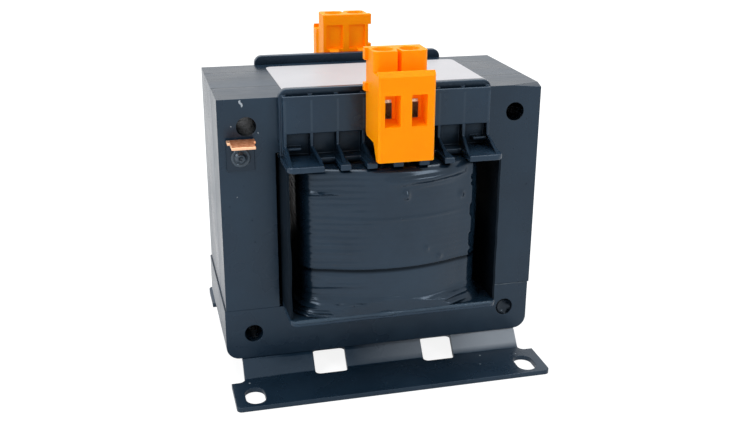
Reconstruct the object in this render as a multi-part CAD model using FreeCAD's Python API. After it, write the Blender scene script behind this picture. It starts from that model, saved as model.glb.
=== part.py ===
"""Open-frame mains transformer on an EI core, with two clip-on screw terminal blocks.

Millimetres, +Z up. The origin is on the mounting plane, under the middle of the core.
X runs along the core's width, and -Y faces the reader of the terminals.
"""
import FreeCAD, Part
import math
import os

# Core: glued and varnished E and I sheets of the 96 size
WINDOW_WIDTH = 16.0
STACK_DEPTH = 45.7
YOKE_HEIGHT = 16.0
WINDOW_HEIGHT = 48.0
OUTER_LEG = 16.0
CENTRE_LEG = 32.0
I_HEIGHT = 16.0
I_SHIFT = 0.4
I_CORNER_RADIUS = 4.0
CORE_HOLE_DIAMETER = 5.5
CORE_HOLE_INSET = 8.0
CORE_LIFT = 6.4

# Foot brackets: folded sheet under the front and rear edges of the core
FOOT_SHEET = 1.5
FOOT_REACH = 20.2
FOOT_UNDER_CORE = 11.0
WEB_RUN = 4.0
WEB_END_INSET = 4.2
BEND_RADIUS = 2.2
EAR_DEPTH = 14.4
EAR_FILLET = 2.0
FOOT_CORNER = 1.5
FOOT_WINDOW_WIDTH = 10.0
FOOT_WINDOW_SPACING = 34.4
FOOT_WINDOW_RADIUS = 1.5
SLOT_WIDTH = 5.8
SLOT_LENGTH = 9.0
SLOT_SIDE_INSET = 6.0
SLOT_SPACING_Y = 74.0
WELD_LENGTH = 12.0
WELD_LEG = 1.4

# Coil former: a tube round the centre leg, two flanges and two terminal carriers
LEG_CLEARANCE = 0.3
TUBE_WALL = 1.2
FLANGE_THICKNESS = 1.7
FLANGE_SIDE_GAP = 0.9
FLANGE_END_GAP = 0.2
FLANGE_REACH = 15.4
FLANGE_CORNER = 2.2
RIM_THICKNESS = 2.3
RIM_RISE = 2.7
RIM_CORNER = 2.5
PLATE_GAP = 1.1
PLATE_THICKNESS = 1.2
PLATE_HEIGHT = 10.7
PLATE_RISE = 1.0
CARRIER_INSET = 0.8
CHAMBERS_PER_SIDE = 4
RIB_THICKNESS = 1.0
RIB_FOOT_RISE = 3.1
RIB_FOOT_LEANS = (0.0, 0.6, 0.2, 1.35, 0.0)
LEAD_SLOT_DEPTH = 8.2
LEAD_SLOT_WIDTH = 4.4
LUG_WIDTH = 4.0
LUG_THICKNESS = 1.0

# Coil: layers from the tube outwards
WINDING_END_GAP = 0.6
PRIMARY_BUILD = 4.0
LAYER_PAPER = 0.6
COIL_SIDE_GAP = 4.8
TAPE_THICKNESS = 0.5
PRIMARY_CROWN = 1.6
COIL_CROWN = 4.2
PRIMARY_FRONT_BUILD = 4.6
SECONDARY_FRONT_BUILD = 8.6
PRIMARY_CORNER = 3.0
COIL_CORNER = 6.0
TAPE_SKIRT = 4.2
BAND_SKIRT = 14.2

# Side cheeks: pressboard sheets between the coil and the outer legs
CHEEK_THICKNESS = 0.6
CHEEK_REACH = 13.3

# Terminal block: one moulding with two rising-cage clamps
BLOCK_SHIFT = 0.6
REAR_BLOCK_SHIFT = 0.7
BLOCK_GAP = 0.5
BLOCK_WIDTH = 15.2
BLOCK_SIDE_LIP = 0.6
BLOCK_TOP_RISE = 14.2
BLOCK_HEIGHT = 24.9
TOWER_DEPTH = 8.8
TOWER_CORNER = 1.6
TOWER_NOTCH = 0.8
TOWER_NOTCH_DEPTH = 4.0
BOX_DEPTH = 14.3
BOX_TOP_DROP = 5.7
BOX_LIP_RISE = 1.1
BOX_LIP_WIDTH = 1.7
BOX_BEVEL = 1.3
BOX_EDGE = 0.5
BLOCK_SKIRT = 4.4
SKIRT_DEPTH = 2.4
BLOCK_HEEL = 1.0
CAP_HEIGHT = 3.3
CAP_LIP = 0.95
CAP_LIP_DEPTH = 2.2
CATCH_TOP_DROP = 9.7
CATCH_HEIGHT = 2.2
BACK_RECESS_DEPTH = 1.2
BACK_RIB_WIDTH = 2.0
BACK_WALL = 1.0
BACK_RECESS_HEIGHT = 7.8
HOOK_SIDE_GAP = 0.7
HOOK_WIDTH = 3.0
HOOK_TIP = 0.8
HOOK_DROP = 1.9
HOOK_BODY = 2.0
HOOK_BEVEL = 0.7
HOOK_ROOT = 0.5
HOOK_CLEARANCE = 0.05

# Clamp of one pole
POLE_PITCH = 7.5
POLE_DEPTH = 4.9
POLE_SHIFT = -0.45
ENTRY_WIDTH = 4.4
ENTRY_HEIGHT = 8.8
ENTRY_SHIFT = 0.5
ENTRY_TOP_DROP = 10.8
ENTRY_WALL = 0.6
ENTRY_SILL = 1.0
CAGE_WIDTH = 5.2
CAGE_DEPTH = 6.0
CAGE_WALL = 0.8
CAGE_FLOOR = 1.1
CAGE_TOP = 2.0
CAGE_MOUTH = 6.5
CAGE_OPEN_GAP = 1.1
CAGE_TRAVEL = 3.5
CAGE_CLEARANCE = 0.15
BAR_WIDTH = 3.0
BAR_THICKNESS = 0.8
BAR_DROP = 14.0
BAR_TAIL = 14.6
BAR_CLEARANCE = 0.05
SCREW_DIAMETER = 3.0
SCREW_HEAD_DIAMETER = 4.2
SCREW_HEAD_HEIGHT = 2.5
SCREW_SHOULDER = 0.8
SCREW_TIP_GAP = 0.2
SCREW_CLEARANCE = 0.05
SCREW_SLOT_WIDTH = 0.8
SCREW_SLOT_DEPTH = 1.2
FUNNEL_DIAMETER = 5.9
FUNNEL_DEPTH = 1.8

# Lead wires from the coil to the clamps
LEAD_DIAMETER = 1.2
LEAD_BEND = 1.8
LEAD_SETBACK = 3.8

# Label, earth tab and its rivet
LABEL_WIDTH = 62.0
LABEL_DEPTH = 36.4
LABEL_SHIFT = 2.6
LABEL_THICKNESS = 0.15
TAB_SHEET = 0.8
TAB_PLATE_WIDTH = 7.9
TAB_PLATE_HEIGHT = 8.5
TAB_BLADE_WIDTH = 6.6
TAB_BLADE_REACH = 9.4
TAB_SHOULDER = 4.2
TAB_SIDE_INSET = 6.1
TAB_BELOW_HOLE = 0.4
RIVET_BELOW_TAB = 5.4
RIVET_HEAD_DIAMETER = 5.6
RIVET_HEAD_HEIGHT = 0.7
RIVET_DOME_DIAMETER = 3.6
RIVET_DOME_HEIGHT = 0.8
RIVET_SHANK_DIAMETER = 3.2
RIVET_SHANK_DEPTH = 6.0

# Places that several pieces share
CORE_FACE = STACK_DEPTH / 2
WINDOW_OUTER = CENTRE_LEG / 2 + WINDOW_WIDTH
CORE_WIDTH = 2 * (WINDOW_OUTER + OUTER_LEG)
SEAM_Z = CORE_LIFT + I_HEIGHT
WINDOW_TOP = SEAM_Z + WINDOW_HEIGHT
CORE_TOP = WINDOW_TOP + YOKE_HEIGHT
HOLE_X = CORE_WIDTH / 2 - CORE_HOLE_INSET
SLOT_X = CORE_WIDTH / 2 - SLOT_SIDE_INSET
WEB_HALF_WIDTH = CORE_WIDTH / 2 - WEB_END_INSET
HOLE_LOW_Z = CORE_LIFT + CORE_HOLE_INSET
HOLE_HIGH_Z = CORE_TOP - CORE_HOLE_INSET

TUBE_X = CENTRE_LEG / 2 + LEG_CLEARANCE
TUBE_Y = CORE_FACE + LEG_CLEARANCE
FLANGE_X = WINDOW_OUTER - FLANGE_SIDE_GAP
FLANGE_Y = CORE_FACE + FLANGE_REACH
FORMER_BOTTOM = SEAM_Z + FLANGE_END_GAP
FORMER_TOP = WINDOW_TOP - FLANGE_END_GAP
COIL_BOTTOM = FORMER_BOTTOM + FLANGE_THICKNESS
COIL_TOP = FORMER_TOP - FLANGE_THICKNESS
CHAMBER_PITCH = (FLANGE_X - CARRIER_INSET - RIB_THICKNESS / 2) / CHAMBERS_PER_SIDE

RIM_BACK = TUBE_Y
RIM_FRONT = RIM_BACK + RIM_THICKNESS
PLATE_BACK = RIM_FRONT + PLATE_GAP
PLATE_FRONT = PLATE_BACK + PLATE_THICKNESS
PLATE_TOP = CORE_TOP + PLATE_RISE

BLOCK_BACK = PLATE_FRONT + BLOCK_GAP
BLOCK_TOP = CORE_TOP + BLOCK_TOP_RISE
BOX_TOP = BLOCK_TOP - BOX_TOP_DROP
BLOCK_UNDERSIDE = BLOCK_TOP - BLOCK_HEIGHT
BAR_UNDERSIDE = BLOCK_TOP - BAR_DROP
MOUTH_BOTTOM = BAR_UNDERSIDE + BAR_THICKNESS + CAGE_OPEN_GAP - CAGE_MOUTH
CAGE_Z_TOP = MOUTH_BOTTOM + CAGE_MOUTH + CAGE_TOP
SHOULDER_Z = CAGE_Z_TOP + CAGE_TRAVEL + CAGE_CLEARANCE + SCREW_SHOULDER
CAGE_BACK = POLE_DEPTH - CAGE_DEPTH / 2
CAGE_FRONT = POLE_DEPTH + CAGE_DEPTH / 2


def vec(x, y, z):
    return FreeCAD.Vector(x, y, z)


def box(x0, x1, y0, y1, z0, z1):
    return Part.makeBox(x1 - x0, y1 - y0, z1 - z0, vec(x0, y0, z0))


def rod(centre, direction, radius, length):
    return Part.makeCylinder(radius, length, centre, direction)


def prism_up(points, z0, z1):
    """A closed outline in plan, raised from z0 to z1."""
    loop = [vec(x, y, z0) for x, y in points]
    face = Part.Face(Part.makePolygon(loop + loop[:1]))
    return face.extrude(vec(0, 0, z1 - z0))


def prism_across(points, x0, x1):
    """A closed outline in the side view, with y and z given, drawn out from x0 to x1."""
    loop = [vec(x0, y, z) for y, z in points]
    face = Part.Face(Part.makePolygon(loop + loop[:1]))
    return face.extrude(vec(x1 - x0, 0, 0))


def round_edges(shape, along, radius, wanted):
    """Fillet the straight edges that run along one direction and whose middle is wanted."""
    chosen = []
    for edge in shape.Edges:
        if not isinstance(edge.Curve, Part.Line):
            continue
        if abs(abs(edge.Curve.Direction.dot(along)) - 1) > 1e-6:
            continue
        if wanted(edge.CenterOfMass):
            chosen.append(edge)
    return shape.makeFillet(radius, chosen)


def to_rear(shape):
    """The same piece on the rear of the transformer, turned half a turn about Z."""
    turned = shape.copy()
    turned.rotate(vec(0, 0, 0), vec(0, 0, 1), 180)
    return turned


def joined(shapes):
    """One solid from several that touch or overlap."""
    return shapes[0].fuse(shapes[1:]).removeSplitter()


# Core


def core_holes(z):
    """The two clamping holes through the stack at one height."""
    return [
        rod(vec(x, -CORE_FACE - 1, z), vec(0, 1, 0), CORE_HOLE_DIAMETER / 2, STACK_DEPTH + 2)
        for x in (-HOLE_X, HOLE_X)
    ]


def rivet_axis():
    """Where the earth rivet enters the front face: its x and z."""
    x = -CORE_WIDTH / 2 + TAB_SIDE_INSET
    return x, tab_top() - RIVET_BELOW_TAB


def tab_top():
    """The earth blade's upper face, just under the upper left hole."""
    return HOLE_HIGH_Z - CORE_HOLE_DIAMETER / 2 - TAB_BELOW_HOLE


def e_stack():
    """The E sheets: top yoke and three legs, bonded to one block by the varnish."""
    half = CORE_WIDTH / 2
    stack = box(-half, half, -CORE_FACE, CORE_FACE, SEAM_Z, CORE_TOP)
    inner = CENTRE_LEG / 2
    for x0, x1 in ((-WINDOW_OUTER, -inner), (inner, WINDOW_OUTER)):
        stack = stack.cut(box(x0, x1, -CORE_FACE - 1, CORE_FACE + 1, SEAM_Z - 1, WINDOW_TOP))
    stack = stack.cut(core_holes(HOLE_HIGH_Z))
    x, z = rivet_axis()
    shank = rod(vec(x, -CORE_FACE, z), vec(0, 1, 0), RIVET_SHANK_DIAMETER / 2, RIVET_SHANK_DEPTH)
    return stack.cut(shank)


def i_stack():
    """The I sheets: the bottom yoke, a little out of line with the E sheets."""
    half = CORE_WIDTH / 2
    stack = box(-half, half, -CORE_FACE, CORE_FACE, CORE_LIFT, SEAM_Z)
    stack = round_edges(stack, vec(0, 1, 0), I_CORNER_RADIUS, lambda m: m.z < CORE_LIFT + 0.1)
    stack.translate(vec(-I_SHIFT, 0, 0))
    return stack.cut(core_holes(HOLE_LOW_Z))


# Foot brackets


def foot_bracket():
    """The front bracket: a leg welded under the core, a sloping web and the slotted flange."""
    t = FOOT_SHEET
    top = CORE_LIFT
    web_top = CORE_FACE
    web_foot = CORE_FACE + WEB_RUN
    rise = top - t
    slope = math.hypot(WEB_RUN, rise)
    shift = t * slope / rise
    inner_top = web_top - shift + t * WEB_RUN / rise
    inner_foot = web_foot - shift + t * WEB_RUN / rise
    front = CORE_FACE + FOOT_REACH
    back = CORE_FACE - FOOT_UNDER_CORE
    section = [
        (-back, top - t),
        (-back, top),
        (-web_top, top),
        (-web_foot, t),
        (-front, t),
        (-front, 0),
        (-inner_foot, 0),
        (-inner_top, top - t),
    ]
    half = CORE_WIDTH / 2
    bracket = prism_across(section, -half, half)
    bends = (
        (web_top, top, BEND_RADIUS),
        (inner_foot, 0, BEND_RADIUS),
        (web_foot, t, BEND_RADIUS - t),
        (inner_top, top - t, BEND_RADIUS - t),
    )
    for y, z, radius in bends:
        bracket = round_edges(
            bracket, vec(1, 0, 0), radius,
            lambda m, y=y, z=z: abs(m.y + y) < 0.01 and abs(m.z - z) < 0.01,
        )
    ear = front - EAR_DEPTH
    for side in (-1, 1):
        x0, x1 = sorted((side * WEB_HALF_WIDTH, side * (half + 1)))
        notch = box(x0, x1, -ear, 0, -1, top + 1)
        notch = round_edges(
            notch, vec(0, 0, 1), EAR_FILLET,
            lambda m, side=side: abs(m.x - side * WEB_HALF_WIDTH) < 0.1 and m.y < -1,
        )
        bracket = bracket.cut(notch)
        x = side * FOOT_WINDOW_SPACING / 2
        window = box(
            x - FOOT_WINDOW_WIDTH / 2, x + FOOT_WINDOW_WIDTH / 2,
            -ear, -CORE_FACE + BEND_RADIUS, -1, top + 1,
        )
        bracket = bracket.cut(round_edges(window, vec(0, 0, 1), FOOT_WINDOW_RADIUS, lambda m: True))
        bracket = bracket.cut(foot_slot(side * SLOT_X))
    return round_edges(
        bracket, vec(0, 0, 1), FOOT_CORNER,
        lambda m: abs(abs(m.x) - half) < 0.1 and abs(m.y + front) < 0.1,
    )


def foot_slot(x):
    """One fixing slot, long in Y, as a tool that goes through the flange."""
    middle = -SLOT_SPACING_Y / 2
    straight = (SLOT_LENGTH - SLOT_WIDTH) / 2
    r = SLOT_WIDTH / 2
    slot = box(x - r, x + r, middle - straight, middle + straight, -1, FOOT_SHEET + 1)
    ends = [
        rod(vec(x, y, -1), vec(0, 0, 1), r, FOOT_SHEET + 2)
        for y in (middle - straight, middle + straight)
    ]
    return slot.fuse(ends)


def weld_beads():
    """Fillet welds where the brackets' inner legs end on the underside of the I sheets."""
    back = CORE_FACE - FOOT_UNDER_CORE
    z = CORE_LIFT
    section = [(-back, z), (-back + WELD_LEG, z), (-back, z - WELD_LEG)]
    beads = []
    for side in (-1, 1):
        x = side * FOOT_WINDOW_SPACING
        bead = prism_across(section, x - WELD_LENGTH / 2, x + WELD_LENGTH / 2)
        beads += [bead, to_rear(bead)]
    return Part.makeCompound(beads)


# Coil former


def flange(z0):
    """One rectangular flange with rounded corners, still without its hole."""
    plate = box(-FLANGE_X, FLANGE_X, -FLANGE_Y, FLANGE_Y, z0, z0 + FLANGE_THICKNESS)
    return round_edges(plate, vec(0, 0, 1), FLANGE_CORNER, lambda m: True)


def rib_places():
    """Each rib's x, left end wall to right one, and the x where its foot ends at the front."""
    places = []
    for index in range(-CHAMBERS_PER_SIDE, CHAMBERS_PER_SIDE + 1):
        lean = RIB_FOOT_LEANS[min(abs(index), len(RIB_FOOT_LEANS) - 1)]
        x = index * CHAMBER_PITCH
        places.append((x, x - math.copysign(lean, index)))
    return places


def lead_slot_places():
    """The middle x of each slot that lets the coil's leads up: all chambers but the end ones."""
    count = CHAMBERS_PER_SIDE - 1
    return [(index + 0.5) * CHAMBER_PITCH for index in range(-count, count)]


def carrier():
    """The front terminal carrier: rim against the yoke, plate, ribs and their sloping feet."""
    floor = FORMER_TOP
    rim = box(-FLANGE_X, FLANGE_X, -RIM_FRONT, -RIM_BACK, floor - 1, CORE_TOP + RIM_RISE)
    rim = round_edges(
        rim, vec(0, 1, 0), RIM_CORNER, lambda m: abs(m.z - CORE_TOP - RIM_RISE) < 0.01,
    )
    end_wall = CHAMBERS_PER_SIDE * CHAMBER_PITCH + RIB_THICKNESS / 2
    plate = box(-end_wall, end_wall, -PLATE_FRONT, -PLATE_BACK, PLATE_TOP - PLATE_HEIGHT, PLATE_TOP)
    pieces = [rim, plate]
    half = RIB_THICKNESS / 2
    foot_front = FLANGE_Y - FLANGE_CORNER / 2
    foot = [
        (-PLATE_BACK, floor - 0.5),
        (-PLATE_BACK, floor + RIB_FOOT_RISE),
        (-PLATE_FRONT, floor + RIB_FOOT_RISE),
        (-foot_front, floor),
        (-foot_front, floor - 0.5),
    ]
    for x, end in rib_places():
        pieces.append(box(x - half, x + half, -PLATE_FRONT, -RIM_FRONT + 0.5, floor - 0.5, PLATE_TOP))
        plan = [
            (x - half, -PLATE_BACK),
            (x + half, -PLATE_BACK),
            (x + half, -PLATE_FRONT),
            (end + half, -foot_front),
            (end - half, -foot_front),
            (x - half, -PLATE_FRONT),
        ]
        slope = prism_across(foot, x - CHAMBER_PITCH, x + CHAMBER_PITCH)
        pieces.append(slope.common(prism_up(plan, floor - 1, floor + RIB_FOOT_RISE + 1)))
    for side in (-1, 1):
        wall = side * CHAMBERS_PER_SIDE * CHAMBER_PITCH
        x0, x1 = sorted((wall, wall - side * (LUG_WIDTH + half)))
        lug_z = floor + RIB_FOOT_RISE / 2
        pieces.append(box(x0, x1, -PLATE_FRONT, -RIM_FRONT + 0.5, lug_z, lug_z + LUG_THICKNESS))
    return joined(pieces)


def coil_former():
    """Tube, flanges and both carriers, moulded in one."""
    outer_x = TUBE_X + TUBE_WALL
    outer_y = TUBE_Y + TUBE_WALL
    front = carrier()
    body = joined([
        box(-outer_x, outer_x, -outer_y, outer_y, FORMER_BOTTOM, FORMER_TOP),
        flange(FORMER_BOTTOM),
        flange(COIL_TOP),
        front,
        to_rear(front),
    ])
    body = body.cut(box(-TUBE_X, TUBE_X, -TUBE_Y, TUBE_Y, FORMER_BOTTOM - 1, FORMER_TOP + 1))
    slot_back = FLANGE_Y - LEAD_SLOT_DEPTH
    for x in lead_slot_places():
        slot = box(
            x - LEAD_SLOT_WIDTH / 2, x + LEAD_SLOT_WIDTH / 2,
            -FLANGE_Y - 1, -slot_back, COIL_TOP - 1, FORMER_TOP + 1,
        )
        body = body.cut([slot, to_rear(slot)])
    return body


# Coil


def crowned_outline(half_x, side_y, crown, corner, z):
    """A rectangle with rounded corners whose front and rear bow outwards by the crown."""
    straight_y = side_y - corner
    cut = corner * (1 - math.sqrt(0.5))
    quarter = [
        vec(half_x, -straight_y, z),
        vec(half_x, straight_y, z),
        vec(half_x - cut, side_y - cut, z),
        vec(half_x - corner, side_y, z),
        vec(0, side_y + crown, z),
    ]
    right = Part.LineSegment(quarter[0], quarter[1]).toShape()
    corner_right = Part.Arc(quarter[1], quarter[2], quarter[3]).toShape()
    left_corner_start = vec(-half_x + corner, side_y, z)
    rear = Part.Arc(quarter[3], quarter[4], left_corner_start).toShape()
    corner_left = Part.Arc(
        left_corner_start, vec(-half_x + cut, side_y - cut, z), vec(-half_x, straight_y, z),
    ).toShape()
    half = [right, corner_right, rear, corner_left]
    turned = []
    for edge in half:
        copy = edge.copy()
        copy.rotate(vec(0, 0, z), vec(0, 0, 1), 180)
        turned.append(copy)
    return Part.Wire(half + turned)


def layer_outline(build_x, build_y, crown, corner):
    """A layer's outer outline, from its build over the tube on the sides and at the front."""
    half_x = TUBE_X + TUBE_WALL + build_x
    side_y = TUBE_Y + TUBE_WALL + build_y - crown
    return half_x, side_y, crown, corner


def layer_block(outline, z0, z1):
    """The layer with everything inside it, as a solid block."""
    half_x, side_y, crown, corner = outline
    face = Part.Face(crowned_outline(half_x, side_y, crown, corner, z0))
    return face.extrude(vec(0, 0, z1 - z0))


def grown(outline, thickness):
    half_x, side_y, crown, corner = outline
    return half_x + thickness, side_y + thickness, crown, corner + thickness


def coil_layers():
    """The coil from the tube outwards: windings, paper, tape wrap and the tape band over it."""
    z0 = COIL_BOTTOM + WINDING_END_GAP
    z1 = COIL_TOP - WINDING_END_GAP
    tube_x = TUBE_X + TUBE_WALL
    tube_y = TUBE_Y + TUBE_WALL
    bore = box(-tube_x, tube_x, -tube_y, tube_y, z0 - 1, z1 + 1)
    primary = layer_outline(PRIMARY_BUILD, PRIMARY_FRONT_BUILD, PRIMARY_CROWN, PRIMARY_CORNER)
    paper = grown(primary, LAYER_PAPER)
    over_x = WINDOW_OUTER - COIL_SIDE_GAP - 2 * TAPE_THICKNESS - tube_x
    over_y = PRIMARY_FRONT_BUILD + LAYER_PAPER + SECONDARY_FRONT_BUILD
    secondary = layer_outline(over_x, over_y, COIL_CROWN, COIL_CORNER)
    wrap = grown(secondary, TAPE_THICKNESS)
    band = grown(wrap, TAPE_THICKNESS)
    wrap_z0 = COIL_BOTTOM + TAPE_SKIRT
    band_z0 = COIL_BOTTOM + BAND_SKIRT
    return {
        "primary_winding": layer_block(primary, z0, z1).cut(bore),
        "layer_insulation": layer_block(paper, z0, z1).cut(layer_block(primary, z0 - 1, z1 + 1)),
        "secondary_winding": layer_block(secondary, z0, z1).cut(layer_block(paper, z0 - 1, z1 + 1)),
        "tape_wrap": layer_block(wrap, wrap_z0, z1).cut(layer_block(secondary, z0 - 1, z1 + 1)),
        "tape_band": layer_block(band, band_z0, z1).cut(layer_block(wrap, z0 - 1, z1 + 1)),
    }


def side_cheek(side):
    """A pressboard sheet that stands between the flanges, beside an outer leg."""
    outer = FLANGE_X
    x0, x1 = sorted((side * outer, side * (outer - CHEEK_THICKNESS)))
    reach = CORE_FACE + CHEEK_REACH
    return box(x0, x1, -reach, reach, COIL_BOTTOM, COIL_TOP)


# Terminal block, drawn with y counted outwards from its back face and turned round at the end


def block_body():
    """The moulding's outer form: the box that the wires enter and the tower over the screws."""
    half = BLOCK_WIDTH / 2
    lip_top = BOX_TOP + BOX_LIP_RISE
    skirt = BLOCK_UNDERSIDE - BLOCK_SKIRT
    side_view = [
        (0, BLOCK_UNDERSIDE + BLOCK_HEEL),
        (0, BOX_TOP),
        (BOX_DEPTH - BOX_LIP_WIDTH, BOX_TOP),
        (BOX_DEPTH - BOX_LIP_WIDTH, lip_top),
        (BOX_DEPTH - BOX_BEVEL, lip_top),
        (BOX_DEPTH, lip_top - BOX_BEVEL),
        (BOX_DEPTH, skirt),
        (BOX_DEPTH - SKIRT_DEPTH, skirt),
        (TOWER_DEPTH, BLOCK_UNDERSIDE),
        (BLOCK_HEEL, BLOCK_UNDERSIDE),
    ]
    wide = half + BLOCK_SIDE_LIP
    plan = [
        (-half, 0),
        (half, 0),
        (half, TOWER_DEPTH),
        (wide, TOWER_DEPTH + BLOCK_SIDE_LIP),
        (wide, BOX_DEPTH - BOX_EDGE),
        (wide - BOX_EDGE, BOX_DEPTH),
        (-half + BOX_EDGE, BOX_DEPTH),
        (-half, BOX_DEPTH - BOX_EDGE),
    ]
    lower = prism_across(side_view, -wide - 1, wide + 1)
    lower = lower.common(prism_up(plan, skirt - 1, lip_top + 1))
    tower = box(-half, half, 0, TOWER_DEPTH, BOX_TOP - 1, BLOCK_TOP)
    tower = round_edges(tower, vec(0, 0, 1), TOWER_CORNER, lambda m: m.y > TOWER_DEPTH - 0.1)
    notch = prism_up(
        [(POLE_SHIFT - TOWER_NOTCH, TOWER_DEPTH + 1),
         (POLE_SHIFT, TOWER_DEPTH - TOWER_NOTCH_DEPTH),
         (POLE_SHIFT + TOWER_NOTCH, TOWER_DEPTH + 1)],
        BOX_TOP, BLOCK_TOP + 1,
    )
    cap_lip = box(-half - CAP_LIP, -half + 1, 0, CAP_LIP_DEPTH, BLOCK_TOP - CAP_HEIGHT, BLOCK_TOP)
    catch_top = BLOCK_TOP - CATCH_TOP_DROP
    catch = box(-half - CAP_LIP, -half + 1, 0, CAP_LIP_DEPTH, catch_top - CATCH_HEIGHT, catch_top)
    return joined([lower, tower.cut(notch), cap_lip, catch])


def block_hooks():
    """The two hooks that clip over the carrier's plate, down into the gap behind it."""
    root = PLATE_TOP + HOOK_CLEARANCE
    top = root + HOOK_BODY
    leg_front = -BLOCK_GAP - PLATE_THICKNESS - HOOK_CLEARANCE
    leg_back = leg_front - HOOK_TIP
    side_view = [
        (HOOK_ROOT, root),
        (leg_front, root),
        (leg_front, root - HOOK_DROP),
        (leg_back, root - HOOK_DROP),
        (leg_back, top - HOOK_BEVEL),
        (leg_back + HOOK_BEVEL, top),
        (HOOK_ROOT, top),
    ]
    x = CHAMBER_PITCH - RIB_THICKNESS / 2 - HOOK_SIDE_GAP
    middle = POLE_SHIFT
    return [
        prism_across(side_view, middle - x, middle - x + HOOK_WIDTH),
        prism_across(side_view, middle + x - HOOK_WIDTH, middle + x),
    ]


def pole_places():
    return [POLE_SHIFT - POLE_PITCH / 2, POLE_SHIFT + POLE_PITCH / 2]


def pole_tools(x):
    """Everything that is cut for one pole: cage chamber, wire entry, screw bore, bar channel."""
    c = CAGE_CLEARANCE
    chamber = box(
        x - CAGE_WIDTH / 2 - c, x + CAGE_WIDTH / 2 + c, CAGE_BACK - c, CAGE_FRONT + c,
        MOUTH_BOTTOM - CAGE_FLOOR - c, CAGE_Z_TOP + CAGE_TRAVEL + c,
    )
    wall = CAGE_FRONT + c
    pocket_back = wall + ENTRY_WALL
    entry_top = BLOCK_TOP - ENTRY_TOP_DROP
    entry_bottom = entry_top - ENTRY_HEIGHT
    pocket = prism_across(
        [(pocket_back, entry_bottom + ENTRY_SILL), (BOX_DEPTH + 1, entry_bottom),
         (BOX_DEPTH + 1, entry_top), (pocket_back, entry_top)],
        x + ENTRY_SHIFT - ENTRY_WIDTH / 2, x + ENTRY_SHIFT + ENTRY_WIDTH / 2,
    )
    mouth_half = CAGE_WIDTH / 2 - CAGE_WALL
    window = box(
        x - mouth_half, x + mouth_half, wall - 0.5, pocket_back + 0.5, MOUTH_BOTTOM, BAR_UNDERSIDE,
    )
    top = BLOCK_TOP + 1
    shaft_r = SCREW_DIAMETER / 2 + SCREW_CLEARANCE
    head_r = SCREW_HEAD_DIAMETER / 2 + SCREW_CLEARANCE
    axis = vec(0, 0, 1)
    shaft = rod(vec(x, POLE_DEPTH, CAGE_Z_TOP), axis, shaft_r, top - CAGE_Z_TOP)
    head = rod(vec(x, POLE_DEPTH, SHOULDER_Z), axis, head_r, top - SHOULDER_Z)
    funnel = Part.makeCone(
        head_r, FUNNEL_DIAMETER / 2, FUNNEL_DEPTH, vec(x, POLE_DEPTH, BLOCK_TOP - FUNNEL_DEPTH), axis,
    )
    gap = BAR_CLEARANCE
    bar_half = BAR_WIDTH / 2 + gap
    bar_top = BAR_UNDERSIDE + BAR_THICKNESS
    tail_back = CAGE_BACK - c - BAR_THICKNESS - gap
    tail = box(x - bar_half, x + bar_half, tail_back, CAGE_BACK, BLOCK_UNDERSIDE - 10, bar_top + gap)
    seat = box(x - bar_half, x + bar_half, CAGE_FRONT, pocket_back + 0.5, BAR_UNDERSIDE - gap, bar_top + gap)
    recess_top = BLOCK_TOP - CAP_HEIGHT
    recess_sides = sorted(
        math.copysign(side, x) for side in (BACK_RIB_WIDTH / 2, BLOCK_WIDTH / 2 - BACK_WALL)
    )
    recess = box(
        *recess_sides, -1, BACK_RECESS_DEPTH, recess_top - BACK_RECESS_HEIGHT, recess_top,
    )
    return [chamber, pocket, window, shaft, head, funnel, tail, seat, recess]


def housing():
    body = joined([block_body()] + block_hooks())
    for x in pole_places():
        body = body.cut(pole_tools(x))
    return body


def clamp_cage(x):
    """The cage that rises on its screw and presses the wire up against the bar."""
    half = CAGE_WIDTH / 2
    cage = box(x - half, x + half, CAGE_BACK, CAGE_FRONT, MOUTH_BOTTOM - CAGE_FLOOR, CAGE_Z_TOP)
    mouth_half = half - CAGE_WALL
    mouth_top = MOUTH_BOTTOM + CAGE_MOUTH
    cage = cage.cut(
        box(x - mouth_half, x + mouth_half, CAGE_BACK - 1, CAGE_FRONT + 1, MOUTH_BOTTOM, mouth_top)
    )
    thread = rod(
        vec(x, POLE_DEPTH, mouth_top - 1), vec(0, 0, 1),
        SCREW_DIAMETER / 2 + SCREW_CLEARANCE, CAGE_TOP + 2,
    )
    return cage.cut(thread)


def clamp_screw(x):
    """The captive screw: its head turns on the housing's shoulder, its tip on the bar."""
    tip = BAR_UNDERSIDE + BAR_THICKNESS + SCREW_TIP_GAP
    axis = vec(0, 0, 1)
    shaft = rod(vec(x, POLE_DEPTH, tip), axis, SCREW_DIAMETER / 2, SHOULDER_Z - tip + 0.5)
    head = rod(vec(x, POLE_DEPTH, SHOULDER_Z), axis, SCREW_HEAD_DIAMETER / 2, SCREW_HEAD_HEIGHT)
    top = SHOULDER_Z + SCREW_HEAD_HEIGHT
    reach = SCREW_HEAD_DIAMETER
    slot = box(
        x - reach, x + reach, POLE_DEPTH - SCREW_SLOT_WIDTH / 2, POLE_DEPTH + SCREW_SLOT_WIDTH / 2,
        top - SCREW_SLOT_DEPTH, top + 1,
    )
    return joined([shaft, head]).cut(slot)


def tail_face():
    """How far out the bar's tail reaches, where the lead is soldered on."""
    return CAGE_BACK - CAGE_CLEARANCE


def contact_bar(x):
    """The fixed bar through the cage, folded down at the back into a tail for the lead."""
    half = BAR_WIDTH / 2
    z = BAR_UNDERSIDE
    front = CAGE_FRONT + CAGE_CLEARANCE + ENTRY_WALL
    back = tail_face() - BAR_THICKNESS
    bar = box(x - half, x + half, back, front, z, z + BAR_THICKNESS)
    tail = box(x - half, x + half, back, tail_face(), z - BAR_TAIL + BAR_THICKNESS, z + BAR_THICKNESS)
    return joined([bar, tail])


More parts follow.
